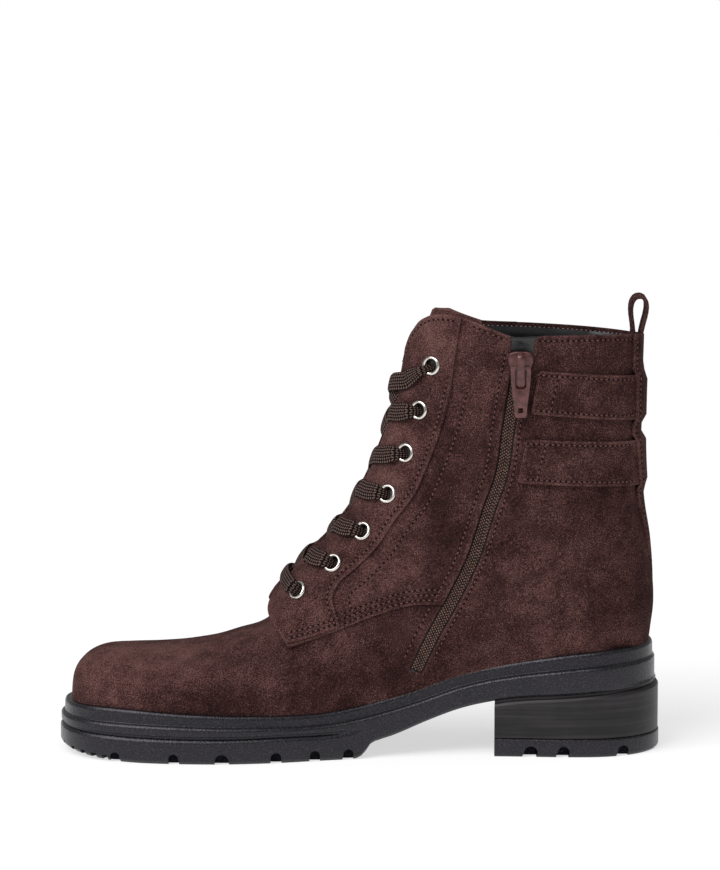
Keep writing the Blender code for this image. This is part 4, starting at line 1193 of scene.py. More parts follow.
def sewn_lines(side):
    """The sewn rows of one side: their piece, the line, and the leather's height and lift there."""
    rear = through(EYESTAY_REAR[1:])
    facing_row = to_side(place_on_skin(moved_aside(rear, -2.4), EYESTAY[1], facing_lift), side)
    second_row = to_side(place_on_skin(moved_aside(rear, 7.6), QUARTER[1], facing_lift), side)
    rows = [
        ("facing", within(facing_row, lambda p: over_collar(p) < -1.6), EYESTAY, facing_lift),
        (
            "quarter", within(second_row, lambda p: (over_collar(p) < -1.6) & (p[:, 2] > 66)), QUARTER,
            facing_lift
        ),
    ]
    for rise in (2.0, 4.4, 6.8):
        seam = to_side(lower_seam(rise, 35.0 + 0.4 * rise), side)
        rows.append(("quarter", within(seam, lambda p: p[:, 0] > -8.5), QUARTER, facing_lift))
    for rise in (3.2, 5.6):
        seam = to_side(lower_seam(rise, -9.5), side)
        rows.append(("facing", within(seam, lambda p: p[:, 0] > -31.5), EYESTAY, facing_lift))
    by_zip = to_side(
        place_on_side(moved_aside(ZIP_MIDDLE, -ZIP_HALF_WIDTH - (4.2 if side < 0 else -0.8))), side
    )
    rows.append(("quarter", within(by_zip, lambda p: (p[:, 2] > 76) & (p[:, 2] < 190)), QUARTER, facing_lift))
    rows.append(("vamp", within(by_zip, lambda p: (p[:, 2] < 71) & (p[:, 2] > 47)), SKIN, None))
    collar_row = collar_between(0, 200, side, 2.4)
    rows.append(("facing", within(collar_row, lambda p: p[:, 0] < 45), EYESTAY, facing_lift))
    rows.append(
        ("quarter", within(collar_row, lambda p: (p[:, 0] > 50.5) & (p[:, 0] < 67.5)), QUARTER, facing_lift)
    )
    rows.append(("rear", within(collar_row, lambda p: p[:, 0] > 81.5), SKIN, None))
    return rows


def zip_rear_row():
    line = place_on_side(moved_aside(ZIP_MIDDLE, ZIP_HALF_WIDTH + 2.0))
    return within(line, lambda p: (p[:, 2] > 47) & (p[:, 2] < 184))


def strap_rows(row):
    """Sewn rows of a strap on the medial side: along its two edges and across it near the front."""
    _, front_x, top, foot, back_top, back_foot = row
    share = np.linspace(0.02, (127 - front_x) / (STRAP_BACK_X - front_x), 40)
    x = front_x + (STRAP_BACK_X - front_x) * share
    upper = place_on_side(np.stack([x, top - 1.9 + (back_top - top) * share], 1))
    lower = place_on_side(np.stack([x, foot + 1.9 + (back_foot - foot) * share], 1))
    across_x = front_x + 9.0
    across = side_line([(across_x + STRAP_LEAN / 2, top - 3.2), (across_x - STRAP_LEAN / 2, foot + 2.6)])
    return [
        within(upper, lambda p: np.abs(p[:, 1]) > 14), within(lower, lambda p: np.abs(p[:, 1]) > 14), across
    ]


def backstay_rows(loop):
    inner = shifted(loop, 2.0, True)
    if not inside(inner[:1], loop)[0]:
        inner = shifted(loop, -2.0, True)
    keep = lambda p: (over_collar(p) < -3.5) & (p[:, 2] > 88)
    return [within(inner[inner[:, 1] > 0.02], keep), within(inner[inner[:, 1] < -0.02], keep)]


SIDES = ((-1, "medial"), (1, "lateral"))
SEWN = {side: sewn_lines(side) for side, _ in SIDES}


def seams_on(piece, side):
    """The sewn lines of a piece that dent its leather."""
    return [line for key, line, _, _ in SEWN[side] if key == piece and len(line) > 3]


def eyelet_hole(row, side):
    """A small ring on the last round an eyelet's place."""
    place = to_side(place_on_skin([EYELETS[row]], EYESTAY[1], facing_lift), side)
    along, around, _ = (t[0] for t in tangents(place[:, 0], place[:, 1]))
    first = unit(along)
    second = unit(around - first * (around @ first))
    turns = np.linspace(0, math.tau, 15)[:-1]
    goal = (np.cos(turns)[:, None] * first + np.sin(turns)[:, None] * second) * EYELET_HOLE
    steps = np.linalg.lstsq(np.stack([along, around], 1), goal.T, rcond=None)[0]
    return place + steps.T


EYELET_HOLE = 3.1

suede_panel("vamp", vamp_loop(), SKIN, ["upper"], seams=[*seams_on("vamp", -1), *seams_on("vamp", 1)])
rear_seams = [*seams_on("rear", -1), *(line - (0, 4) for line in seams_on("rear", 1)), zip_rear_row()]
suede_panel("rear_quarter", rear_quarter_loop(), SKIN, ["upper"], seams=rear_seams)
for side, label in SIDES:
    holes = [eyelet_hole(row, side) for row in range(len(EYELETS))]
    suede_panel(
        f"front_quarter_{label}",
        front_quarter_loop(side),
        QUARTER,
        ["upper"],
        seams=seams_on("quarter", side),
        holes=holes,
        lift=facing_lift,
    )
    suede_panel(
        f"facing_{label}",
        eyestay_loop(side),
        EYESTAY,
        [f"eyestay_{label}"],
        seams=seams_on("facing", side),
        holes=holes,
        lift=facing_lift,
    )
    for row in STRAPS:
        lines = [line if side < 0 else over_back(line) for line in strap_rows(row)]
        suede_panel(
            f"{row[0]}_band_{label}", strap_loop(row, side), STRAP, [f"{row[0]}_{label}"], seams=lines
        )
suede_panel(
    "back_strip", backstay_loop(), BACKSTAY, ["backstay"], seams=backstay_rows(backstay_loop()),
    lift=strap_lift
)
suede_panel("tongue_pad", tongue_loop(), TONGUE, ["tongue"], lift=tongue_lift)
on_boot(panel("shaft_lining", lining_loop(), LINING, LINING_FINISH, lift=lining_lift), "lining", "upper")


# Notches in the edge of the tread: x, width, height and lean of the arch
FOREFOOT_NOTCHES = ((-112.6, 4.4, 4.6, -1.0), (-85.7, 4.6, 4.8, -0.6), (-63.9, 6.4, 4.8, 0),
                    (-38.9, 4.8, 5, 0), (-21.3, 4.6, 5, 0.4), (-6, 4.6, 5, 0.6))
HEEL_NOTCHES = ((77.6, 6.4, 5.2, 2.0), (93.2, 5.6, 5.2, 1.6), (121.4, 5.0, 5.0, 1.4))
# Where the tread ends and the waist's underside rises: x, z
TREAD_END = ((-4, 0), (-1.4, 0.3), (1.2, 1.6), (3.0, 3.6), (4.6, 6.2), (6.4, 7.6), (9, 8.5), (14, 10.0))


def sole_stations(low_x, high_x, count):
    half = SOLE_LENGTH / 2
    return np.linspace(math.acos(-low_x / half), math.acos(-high_x / half), count)


def sole_under(x):
    """Height of the sole's underside."""
    tread = np.maximum(line_height(TOE_SPRING, x), 0)
    return np.where(x < -4, tread, np.where(x < 14, line_height(TREAD_END, x), line_height(WAIST_UNDER, x)))


def rounded_levels(levels, x):
    """Levels of a sole's wall, from inset, height and radius, with a small arc for each corner."""
    rows = [
        (
            np.broadcast_to(inset, x.shape).astype(float),
            height(x) if callable(height) else height + 0 * x, radius
        )
        for inset, height, radius in levels
    ]
    result = []
    for i, (inset, height, radius) in enumerate(rows):
        if radius == 0 or i in (0, len(rows) - 1):
            result.append((inset, height))
            continue
        before = np.stack([rows[i - 1][0] - inset, rows[i - 1][1] - height])
        after = np.stack([rows[i + 1][0] - inset, rows[i + 1][1] - height])
        lengths = np.linalg.norm(before, axis=0), np.linalg.norm(after, axis=0)
        start = before * np.minimum(radius / np.maximum(lengths[0], 1e-6), 0.45)
        end = after * np.minimum(radius / np.maximum(lengths[1], 1e-6), 0.45)
        for t in (0.0, 0.25, 0.5, 0.75, 1.0):
            bend = start * (1 - t) ** 2 + end * t**2
            result.append((inset + bend[0], height + bend[1]))
    return result


def sole_loft(name, phis, levels, finish, breast=0.0):
    """A solid through rings of the sole's outline, its corners rounded; a heel's breast can run aslant."""
    count = len(phis)
    x = -SOLE_LENGTH / 2 * np.cos(phis)
    points = []
    rows = rounded_levels(levels, x)
    for inset, height in rows:
        medial, lateral = plan_ring(phis, inset)
        points += [(a, b, h) for (a, b), h in zip(medial, height)]
        points += [(a, b, h) for (a, b), h in zip(lateral[::-1], height[::-1])]
    ring = 2 * count
    faces = []
    for level in range(len(rows) - 1):
        for i in range(ring):
            j = (i + 1) % ring
            a, b = level * ring, (level + 1) * ring
            faces.append((a + i, a + j, b + j, b + i))
    top = (len(rows) - 1) * ring
    for i in range(count - 1):
        quad = (i, i + 1, ring - 2 - i, ring - 1 - i)
        faces.append(tuple(top + k for k in quad))
        faces.append(quad[::-1])
    points = np.array(points)
    share = fade(-36, 36, points[:, 1]) * (1 - fade(HEEL_BREAST_X, HEEL_BREAST_X + 30, points[:, 0]))
    points[:, 0] += breast * share
    return mesh_object(name, points, faces, finish, 32)


def bar_between(outline, low_y, high_y):
    """Points and faces of a bar across the sole with an outline of x and z."""
    count = len(outline)
    points = [(x, low_y, z) for x, z in outline] + [(x, high_y, z) for x, z in outline]
    faces = [tuple(range(count))[::-1], tuple(range(count, 2 * count))]
    faces += [(i, (i + 1) % count, count + (i + 1) % count, count + i) for i in range(count)]
    return points, faces


def joined(shapes):
    points, faces = [], []
    for new_points, new_faces in shapes:
        faces += [tuple(k + len(points) for k in f) for f in new_faces]
        points += list(new_points)
    return points, faces


def notch_bars(rows, reach):
    """Arch-topped bars that cut the edge of the tread on both sides."""
    bars = []
    for x, width, height, lean in rows:
        phi = np.array([math.acos(-x * 2 / SOLE_LENGTH)])
        for side, edge in enumerate(plan_ring(phi, np.array([reach]))):
            inner_y = float(edge[0, 1])
            outer_y = inner_y + (-40 if side == 0 else 40)
            arch = np.linspace(0, math.pi, 13)
            half = width / 2
            top = [(x + lean + half * math.cos(a), height - half + half * math.sin(a)) for a in arch]
            outline = [(x - width / 2 - 0.4, -3), (x + width / 2 + 0.4, -3), *top]
            bars.append(bar_between(outline, *sorted((inner_y, outer_y))))
    return bars


def toe_serration_bars():
    """Small upright grooves round the foot of the toe."""
    half = SOLE_LENGTH / 2
    bars = []
    for x in (-138.6, -134.2, -129.2, -124.0, -118.6):
        phi = np.array([math.acos(-x / half)])
        nearby = np.array([math.acos(-(x - 0.4) / half), math.acos(-(x + 0.4) / half)])
        for side in (0, 1):
            inner = plan_ring(phi, np.array([6.0]))[side][0]
            outer = plan_ring(phi, np.array([-6.0]))[side][0]
            ends = plan_ring(nearby, np.zeros(2))[side]
            along = unit(ends[1] - ends[0]) * 1.5
            low, high = -2.0, float(sole_under(np.array(x))) + 2.1
            corners = [inner - along, inner + along, outer + along, outer - along]
            points = [(a, b, low) for a, b in corners] + [(a, b, high) for a, b in corners]
            faces = [(3, 2, 1, 0), (4, 5, 6, 7)]
            faces += [(i, (i + 1) % 4, 4 + (i + 1) % 4, 4 + i) for i in range(4)]
            bars.append((points, faces))
    return bars


def cut_away(obj, shapes):
    """Cut shapes out of a piece and leave it a plain mesh again."""
    cutter = mesh_object("cutter", *joined(shapes), obj.data.materials[0])
    modifier = obj.modifiers.new("cut", "BOOLEAN")
    modifier.operation = "DIFFERENCE"
    modifier.solver = "EXACT"
    modifier.use_self = True
    modifier.object = cutter
    cut = bpy.data.meshes.new_from_object(obj.evaluated_get(bpy.context.evaluated_depsgraph_get()))
    obj.modifiers.clear()
    obj.data = cut
    cut.shade_smooth()
    cut.set_sharp_from_angle(angle=math.radians(32))
    bpy.data.objects.remove(cutter)
    return obj


def mark_hollows(obj, low_x, high_x):
    """Write which faces lie inside the notches, as the attribute that the rubber reads; it turns the gloss
    down there as painted shade.
    """
    mesh = obj.data
    count = len(mesh.polygons)
    centres = np.empty(3 * count)
    normals = np.empty(3 * count)
    mesh.polygons.foreach_get("center", centres)
    mesh.polygons.foreach_get("normal", normals)
    centres = centres.reshape(-1, 3) / MM
    up = normals.reshape(-1, 3)[:, 2]
    x = np.clip(centres[:, 0], -SOLE_LENGTH / 2 + 0.01, SOLE_LENGTH / 2 - 0.01)
    medial, lateral = plan_ring(np.arccos(-x * 2 / SOLE_LENGTH), np.zeros(count))
    inset = np.minimum(centres[:, 1] - medial[:, 1], lateral[:, 1] - centres[:, 1])
    deep = (inset > 1.3) & (centres[:, 2] < 7.0) & (up > -0.9) & (x > low_x) & (x < high_x)
    layer = mesh.attributes.new("hollow", "FLOAT", "FACE")
    layer.data.foreach_set("value", deep.astype(float))


def sole_pieces():
    phis = sole_stations(-SOLE_LENGTH / 2, SOLE_LENGTH / 2, 220)
    x = -SOLE_LENGTH / 2 * np.cos(phis)
    front = 1 - fade(-18, 2, x)
    depth = 1.7 * front
    back = 2.2 * fade(104, 140, x)
    levels = [
        (1.9, sole_under, 0),
        (1.5, sole_under, 0.4),
        (back, lambda a: sole_under(a) + 1.5, 0.8),
        (back, raised(WALL_GROOVE, -2.0), 0.4),
        (back + 0.7 * front, raised(WALL_GROOVE, -0.9), 0.4),
        (back + depth, raised(WALL_GROOVE, -0.4), 0.1),
        (back + depth, raised(WALL_GROOVE, 0.5), 0.1),
        (back + 0.4 * front, raised(WALL_GROOVE, 0.9), 0.3),
        (back + 0.4 * front, raised(RIM_FOOT, -1.2), 0.4),
        (back + 0.4 * front + 0.6, raised(RIM_FOOT, -0.3), 0.4),
        (0.5 * back + 2.1, raised(RIM_FOOT, 0.4), 0.3),
        (0.5 * back + 2.2, raised(SOLE_TOP, -1.3), 0.6),
        (0.5 * back + 2.9, raised(SOLE_TOP, -0.1), 0.5),
        (0.5 * back + 3.8, raised(SOLE_TOP, 0.0), 0),
    ]
    outsole = sole_loft("lug_sole", phis, levels, RUBBER_FINISH)
    cut_away(outsole, notch_bars(FOREFOOT_NOTCHES, 5.0) + toe_serration_bars())
    mark_hollows(outsole, -117.0, -1.0)
    on_boot(outsole, "rubber", "outsole")

    phis = sole_stations(HEEL_BREAST_X, SOLE_LENGTH / 2, 90)
    block = [
        (0.9, TOP_LIFT_HEIGHT + 0.1, 0),
        (0.4, TOP_LIFT_HEIGHT + 0.5, 0.2),
        (0.4, raised(WAIST_UNDER, -2.9), 0.3),
        (1.2, raised(WAIST_UNDER, -1.6), 0.3),
        (2.2, raised(WAIST_UNDER, -1.2), 0.2),
        (2.2, raised(WAIST_UNDER, -0.2), 0.2),
        (2.6, raised(WAIST_UNDER, 0.1), 0),
    ]
    on_boot(sole_loft("heel_stack", phis, block, STACK_FINISH, 7.0), "heel_stack", "heel_block")
    lift = [
        (1.4, 0.0, 0),
        (1.0, 0.0, 0.3),
        (0.0, 1.1, 0.6),
        (0.0, TOP_LIFT_HEIGHT - 0.5, 0.3),
        (0.6, TOP_LIFT_HEIGHT, 0),
    ]
    top_piece = sole_loft("heel_tread", phis, lift, RUBBER_FINISH, 7.0)
    cut_away(top_piece, notch_bars(HEEL_NOTCHES, 6.0))
    mark_hollows(top_piece, HEEL_BREAST_X + 9, 138.0)
    on_boot(top_piece, "rubber", "heel_top_lift")


sole_pieces()


def beads_tree():
    """Geometry Nodes that set rounded beads along the lines of a mesh, for stitches and zip coils."""
    tree = bpy.data.node_groups.new("beads_along_lines", "GeometryNodeTree")
    names = {}
    tree.interface.new_socket("Lines", in_out="INPUT", socket_type="NodeSocketGeometry")
    for name in ("Pitch", "Along", "Across", "Height"):
        socket = tree.interface.new_socket(name, in_out="INPUT", socket_type="NodeSocketFloat")
        names[name] = socket.identifier
    socket = tree.interface.new_socket("Finish", in_out="INPUT", socket_type="NodeSocketMaterial")
    names["Finish"] = socket.identifier
    tree.interface.new_socket("Beads", in_out="OUTPUT", socket_type="NodeSocketGeometry")
    given = add(tree, "NodeGroupInput").outputs
    curve = add(tree, "GeometryNodeMeshToCurve", {"Mesh": given["Lines"]})
    places = add(
        tree, "GeometryNodeCurveToPoints", {"Curve": curve.outputs[0], "Length": given["Pitch"]},
        mode="LENGTH",
    )
    out = add(tree, "GeometryNodeInputNamedAttribute", {"Name": "out"}, data_type="FLOAT_VECTOR")
    turn = add(
        tree,
        "FunctionNodeAxesToRotation",
        {0: places.outputs["Tangent"], 1: out.outputs["Attribute"]},
        primary_axis="X",
        secondary_axis="Z",
    )
    bead = add(tree, "GeometryNodeMeshUVSphere", {"Segments": 8, "Rings": 5, "Radius": 0.5})
    size = add(tree, "ShaderNodeCombineXYZ", {0: given["Along"], 1: given["Across"], 2: given["Height"]})
    placed = add(
        tree,
        "GeometryNodeInstanceOnPoints",
        {
            "Points": places.outputs["Points"],
            "Instance": bead.outputs["Mesh"],
            "Rotation": turn.outputs[0],
            "Scale": size.outputs[0],
        },
    )
    real = add(tree, "GeometryNodeRealizeInstances", {0: placed.outputs[0]})
    finished = add(
        tree, "GeometryNodeSetMaterial", {"Geometry": real.outputs[0], "Material": given["Finish"]}
    )
    add(tree, "NodeGroupOutput", {"Beads": finished.outputs[0]})
    return tree, names


BEADS_TREE, BEADS_INPUTS = beads_tree()


def beads(name, lines, pitch, size, finish):
    """Beads along lines given as points and outward directions, all in one plain mesh."""
    points, outs, edges = [], [], []
    for line, out in lines:
        edges += [(len(points) + i, len(points) + i + 1) for i in range(len(line) - 1)]
        points += list(line)
        outs += list(out)
    mesh = bpy.data.meshes.new(name)
    mesh.from_pydata(np.array(points) * MM, edges, [])
    layer = mesh.attributes.new("out", "FLOAT_VECTOR", "POINT")
    layer.data.foreach_set("vector", np.ravel(outs))
    obj = bpy.data.objects.new(name, mesh)
    bpy.context.scene.collection.objects.link(obj)
    modifier = obj.modifiers.new("beads", "NODES")
    modifier.node_group = BEADS_TREE
    for key, value in zip(("Pitch", "Along", "Across", "Height"), (pitch, *size)):
        modifier[BEADS_INPUTS[key]] = value * MM
    modifier[BEADS_INPUTS["Finish"]] = finish
    made = bpy.data.meshes.new_from_object(obj.evaluated_get(bpy.context.evaluated_depsgraph_get()))
    obj.modifiers.clear()
    obj.data = made
    made.shade_smooth()
    return obj


def row_on(line, height, lift=None, inwards=False):
    """A line on the last as points at a height and outward directions."""
    points = last_point(line[:, 0], line[:, 1])
    run = np.concatenate([[0], np.cumsum(np.linalg.norm(np.diff(points, axis=0), axis=1) + 1e-6)])
    at = np.linspace(0, run[-1], max(3, int(run[-1])))
    even = np.stack([np.interp(at, run, line[:, 0]), np.interp(at, run, line[:, 1])], 1)
    out = tangents(even[:, 0], even[:, 1])[2]
    return skin_points(even, np.full(len(even), height), lift), -out if inwards else out


STITCH_SINK = 0.16
STITCH_PITCH = 2.5
COIL_PITCH = 1.5


def half_step(points, outs, pitch=STITCH_PITCH):
    """A row of stitches moved by half a stitch, for what lies between them."""
    run = np.concatenate([[0], np.cumsum(np.linalg.norm(np.diff(points, axis=0), axis=1))])
    step = run[-1] / max(1, int(run[-1] / pitch))
    at = np.linspace(step / 2, max(run[-1] - step / 2, step), max(3, int(run[-1])))
    moved = [np.stack([np.interp(at, run, values[:, k]) for k in range(3)], 1) for values in (points, outs)]
    return moved[0], unit(moved[1])


def lathe(profile, turns):
    """Points and faces of a closed ring with a profile of radius and height, about +Z."""
    count = len(profile)
    angles = np.arange(turns) * math.tau / turns
    points = [(r * math.cos(a), r * math.sin(a), h) for a in angles for r, h in profile]
    faces = []
    for i in range(turns):
        for k in range(count):
            a, b = i * count, (i + 1) % turns * count
            m = (k + 1) % count
            faces.append((a + k, b + k, b + m, a + m))
    return points, faces


EYELET_PROFILE = (
    (3.0, -3.4), (3.0, 0.1), (3.1, 0.5), (3.38, 0.8), (3.76, 0.88), (4.2, 0.68), (4.52, 0.3), (4.56, 0.0),
    (4.4, -0.1), (3.25, -0.1), (3.15, -3.4),
)


def eyelet_seat(row, side):
    """Middle of an eyelet on the face of the facing, and its outward direction."""
    place = place_on_skin([EYELETS[row]], EYESTAY[1], facing_lift)
    if side > 0:
        place = over_front(place)
    point = skin_points(place, np.array([EYESTAY[1]]), facing_lift)[0]
    return point, tangents(place[:, 0], place[:, 1])[2][0]


def eyelet_pieces():
    hollows = []
    for side, label in SIDES:
        for row in range(len(EYELETS)):
            middle, out = eyelet_seat(row, side)
            turn = Vector(out).to_track_quat("Z", "Y")
            points, faces = lathe(EYELET_PROFILE, 36)
            ring = [Vector(middle) + turn @ Vector(p) for p in points]
            obj = mesh_object(f"ring_{label}_{row + 1}", ring, faces, EYELET_FINISH, 50)
            on_boot(obj, "nickel", f"eyelet_{label}_{row + 1}")
            disc = [Vector(middle) + turn @ Vector((r * math.cos(a), r * math.sin(a), h))
                    for r, h in ((3.05, -3.3), (3.05, -3.0)) for a in np.arange(16) * math.tau / 16]
            sides = [(i, (i + 1) % 16, 16 + (i + 1) % 16, 16 + i) for i in range(16)]
            hollows.append((disc, [tuple(range(16))[::-1], tuple(range(16, 32)), *sides]))
    backing = mesh_object("eyelet_backing", *joined(hollows), LINING_FINISH)
    on_boot(backing, "lining")


LACE_WIDTH = 8.6
LACE_RIBS = 6
# Where each strand's middle meets the facing's edge, from its eyelet: x, z; and how far off the throat
LACE_RUNS = ((-12.4, -8.2, 4.6), (-12.8, -2.8, 1.8), (-13.2, -2.8, 1.2), (-12.6, 0.4, 0.5), (-11.4, 0.9, 0.2),
             (-10.6, 1.9, 0.2), (-5.5, 3.2, -1.0))
# How much further down the throat the lateral strands cross than the medial ones of the same row
LATERAL_LACE_DROP = 3.8


def lace_strand(row, side, over):
    """A flat strand from an eyelet over the facing's edge, down the throat and under the other facing."""
    eyelet = np.array(EYELETS[row], float)
    run = np.array(LACE_RUNS[row][:2], float)
    straight = row == len(EYELETS) - 1
    shares = np.array((0.1, 0.28, 0.5, 0.76, 1.0))
    on_facing = place_on_skin([eyelet + run * s for s in shares], EYESTAY[1] + 0.7, facing_lift)
    if side > 0 and not straight:
        section_length = np.linalg.norm(tangents(on_facing[:, 0], on_facing[:, 1])[0], axis=1)
        on_facing[:, 0] -= LATERAL_LACE_DROP * shares / section_length
    edge_u, edge_v = on_facing[-1]
    drift = min((on_facing[-1, 0] - on_facing[-2, 0]) * 0.8, 0.0) - 0.18
    drift = 0.0 if straight else -0.7 if row == 0 else drift
    middle = (edge_u + drift, 2.0)
    far = (edge_u + 2.0 * drift, 2.0 + (2.0 - edge_v) * 1.3)
    places = np.array([on_facing[0], *on_facing[1:], middle, far])
    face = EYESTAY[1] + 0.7
    near = (4.6, 6.2) if row == 0 else (6.8, 8.4)
    dip = (0.9 if over else -0.7) + (3.0 if straight else 0.0) + LACE_RUNS[row][2]
    heights = np.array([face - 5.0, face + 1.3, face + 1.2, face + 0.5, face + 0.2, dip, -1.9])
    widths = np.array([4.8, *near, 8.5, LACE_WIDTH, LACE_WIDTH, LACE_WIDTH])
    if straight:
        far_face = np.array([face + 0.2, face + 0.5])
        heights = np.concatenate([heights[:-1], far_face])
        places = np.array([*places[:-1], (edge_u, 4 - edge_v), (on_facing[3, 0], 4 - on_facing[3, 1])])
        widths = np.array([4.8, 6.4, 7.4, 7.6, 7.6, 7.6, 7.6, 7.6])
    steps = np.arange(len(places))
    fine = np.linspace(0, len(places) - 1, 60)
    uv = np.stack([smooth(steps, places[:, k], fine) for k in (0, 1)], 1)
    height = smooth(steps, heights, fine)
    width = smooth(steps, widths, fine)
    if side > 0:
        uv = over_front(uv)
    middle_line = skin_points(uv, height, facing_lift)
    out = tangents(uv[:, 0], uv[:, 1])[2]
    along = unit(np.gradient(middle_line, axis=0))
    across = unit(np.cross(along, out))
    up = np.cross(across, along)
    travelled = np.concatenate([[0], np.cumsum(np.linalg.norm(np.diff(middle_line, axis=0), axis=1))])
    across_steps = np.linspace(-1, 1, 11)
    points, weave = [], []
    for i in range(len(fine)):
        crown = 0.35 + 1.1 * (1 - width[i] / LACE_WIDTH)
        for face_side in (1, -1):
            for s in across_steps[::face_side]:
                edge = math.sqrt(max(0.0, 1 - s**4))
                bow = crown * (1 - s * s)
                lift = bow + face_side * 0.62 * edge
                points.append(middle_line[i] + across[i] * s * width[i] / 2 + up[i] * lift)
                weave.append(((s + 1) / 2 * LACE_RIBS, travelled[i] / 1.6))
    ring = 2 * len(across_steps)
    faces = []
    for i in range(len(fine) - 1):
        for k in range(ring):
            m = (k + 1) % ring
            faces.append((i * ring + k, i * ring + m, (i + 1) * ring + m, (i + 1) * ring + k))
    faces.append(tuple(range(ring))[::-1])
    faces.append(tuple((len(fine) - 1) * ring + k for k in range(ring)))
    return points, faces, weave


def lace_piece(name, strands, nodes):
    points, faces, weave = [], [], []
    for new_points, new_faces, new_weave in strands:
        faces += [tuple(k + len(points) for k in f) for f in new_faces]
        points += list(new_points)
        weave += new_weave
    mesh = bpy.data.meshes.new(name)
    mesh.from_pydata(np.array(points) * MM, [], faces)
    layer = mesh.uv_layers.new(name="weave")
    for loop in mesh.loops:
        layer.data[loop.index].uv = weave[loop.vertex_index]
    bm = bmesh.new()
    bm.from_mesh(mesh)
    bmesh.ops.recalc_face_normals(bm, faces=bm.faces)
    bm.to_mesh(mesh)
    bm.free()
    mesh.shade_smooth()
    mesh.materials.append(LACE_FINISH)
    obj = bpy.data.objects.new(name, mesh)
    bpy.context.scene.collection.objects.link(obj)
    return on_boot(obj, "lace", *nodes)


def lace_pieces():
    for row in range(len(EYELETS) - 1):
        strands = [lace_strand(row, side, (row % 2 == 0) == (side < 0)) for side in (-1, 1)]
        lace_piece(f"lace_cross_{row + 1}", strands, [f"lace_crossing_{row + 1}"])
    last = len(EYELETS) - 1
    lace_piece("lace_straight", [lace_strand(last, side, side < 0) for side in (-1, 1)], ["lace_bar"])


def zip_pieces():
    """The zip's woven tape and the rows of its coil."""
    line = ZIP_MIDDLE[(ZIP_MIDDLE[:, 1] < 189.0)]
    front = moved_aside(line, -ZIP_HALF_WIDTH - 0.6)
    rear = moved_aside(line, ZIP_HALF_WIDTH + 0.6)
    loop = closed_loop(side_line(front), side_line(rear[::-1]))
    tape = panel("zip_tape", loop, ZIP_TAPE, TAPE_FINISH, rounding=0.2)
    on_boot(tape, "lace", "zip_chain")
    chain = line[(line[:, 1] < 180.0) & (line[:, 1] > 41.2)]
    rows = []
    for i, aside in enumerate((-2.1, -1.35, -0.5, 0.5, 1.35, 2.1)):
        row = row_on(place_on_side(moved_aside(chain, aside)), ZIP_TAPE[1] + 0.3)
        rows.append(half_step(*row, COIL_PITCH) if i % 2 else row)
    coil = beads("zip_coil", rows, COIL_PITCH, (0.95, 0.68, 0.8), COIL_FINISH)
    on_boot(coil, "lace", "zip_chain")


def bevelled_plate(outline, low_y, high_y, bevel, holes=()):
    """Points and faces of a plate across Y with rounded edges; the holes must be slots inside the outline."""
    bm = bmesh.new()
    loops = [outline, *holes]
    points = [Vector(p) for loop in loops for p in loop]
    edges = []
    for loop in loops:
        start = len(edges)
        edges += [(start + i, start + (i + 1) % len(loop)) for i in range(len(loop))]
    cut = delaunay_2d_cdt(points, edges, [], 2, 1e-6)
    spots = np.array([tuple(p) for p in cut[0]])
    kept = []
    for face in cut[2]:
        middle = spots[list(face)].mean(0)[None]
        if inside(middle, np.array(outline))[0] and not any(inside(middle, np.array(h))[0] for h in holes):
            kept.append(face)
    low = [bm.verts.new((x, low_y, z)) for x, z in spots]
    for face in kept:
        bm.faces.new([low[i] for i in face])
    bmesh.ops.dissolve_limit(bm, angle_limit=0.01, verts=bm.verts, edges=bm.edges, delimit=set())
    grown = bmesh.ops.extrude_face_region(bm, geom=bm.faces[:])
    for vertex in (g for g in grown["geom"] if isinstance(g, bmesh.types.BMVert)):
        vertex.co.y = high_y
    bmesh.ops.recalc_face_normals(bm, faces=bm.faces)
    sharp = [e for e in bm.edges if len(e.link_faces) == 2 and e.calc_face_angle(0) > 0.6]
    bmesh.ops.bevel(bm, geom=sharp, offset=bevel, segments=3, profile=0.5, affect="EDGES", clamp_overlap=True)
    bm.verts.index_update()
    result = [tuple(v.co) for v in bm.verts], [tuple(v.index for v in f.verts) for f in bm.faces]
    bm.free()
    return result


SLIDER_PLACE = (73.9, 184.3)
SLIDER_BACK_Y = -29.55
SLIDER_FACE_Y = -31.95
TAB_AXIS = (73.9, -33.097, 182.9)
TAB_LENGTH = 23.2


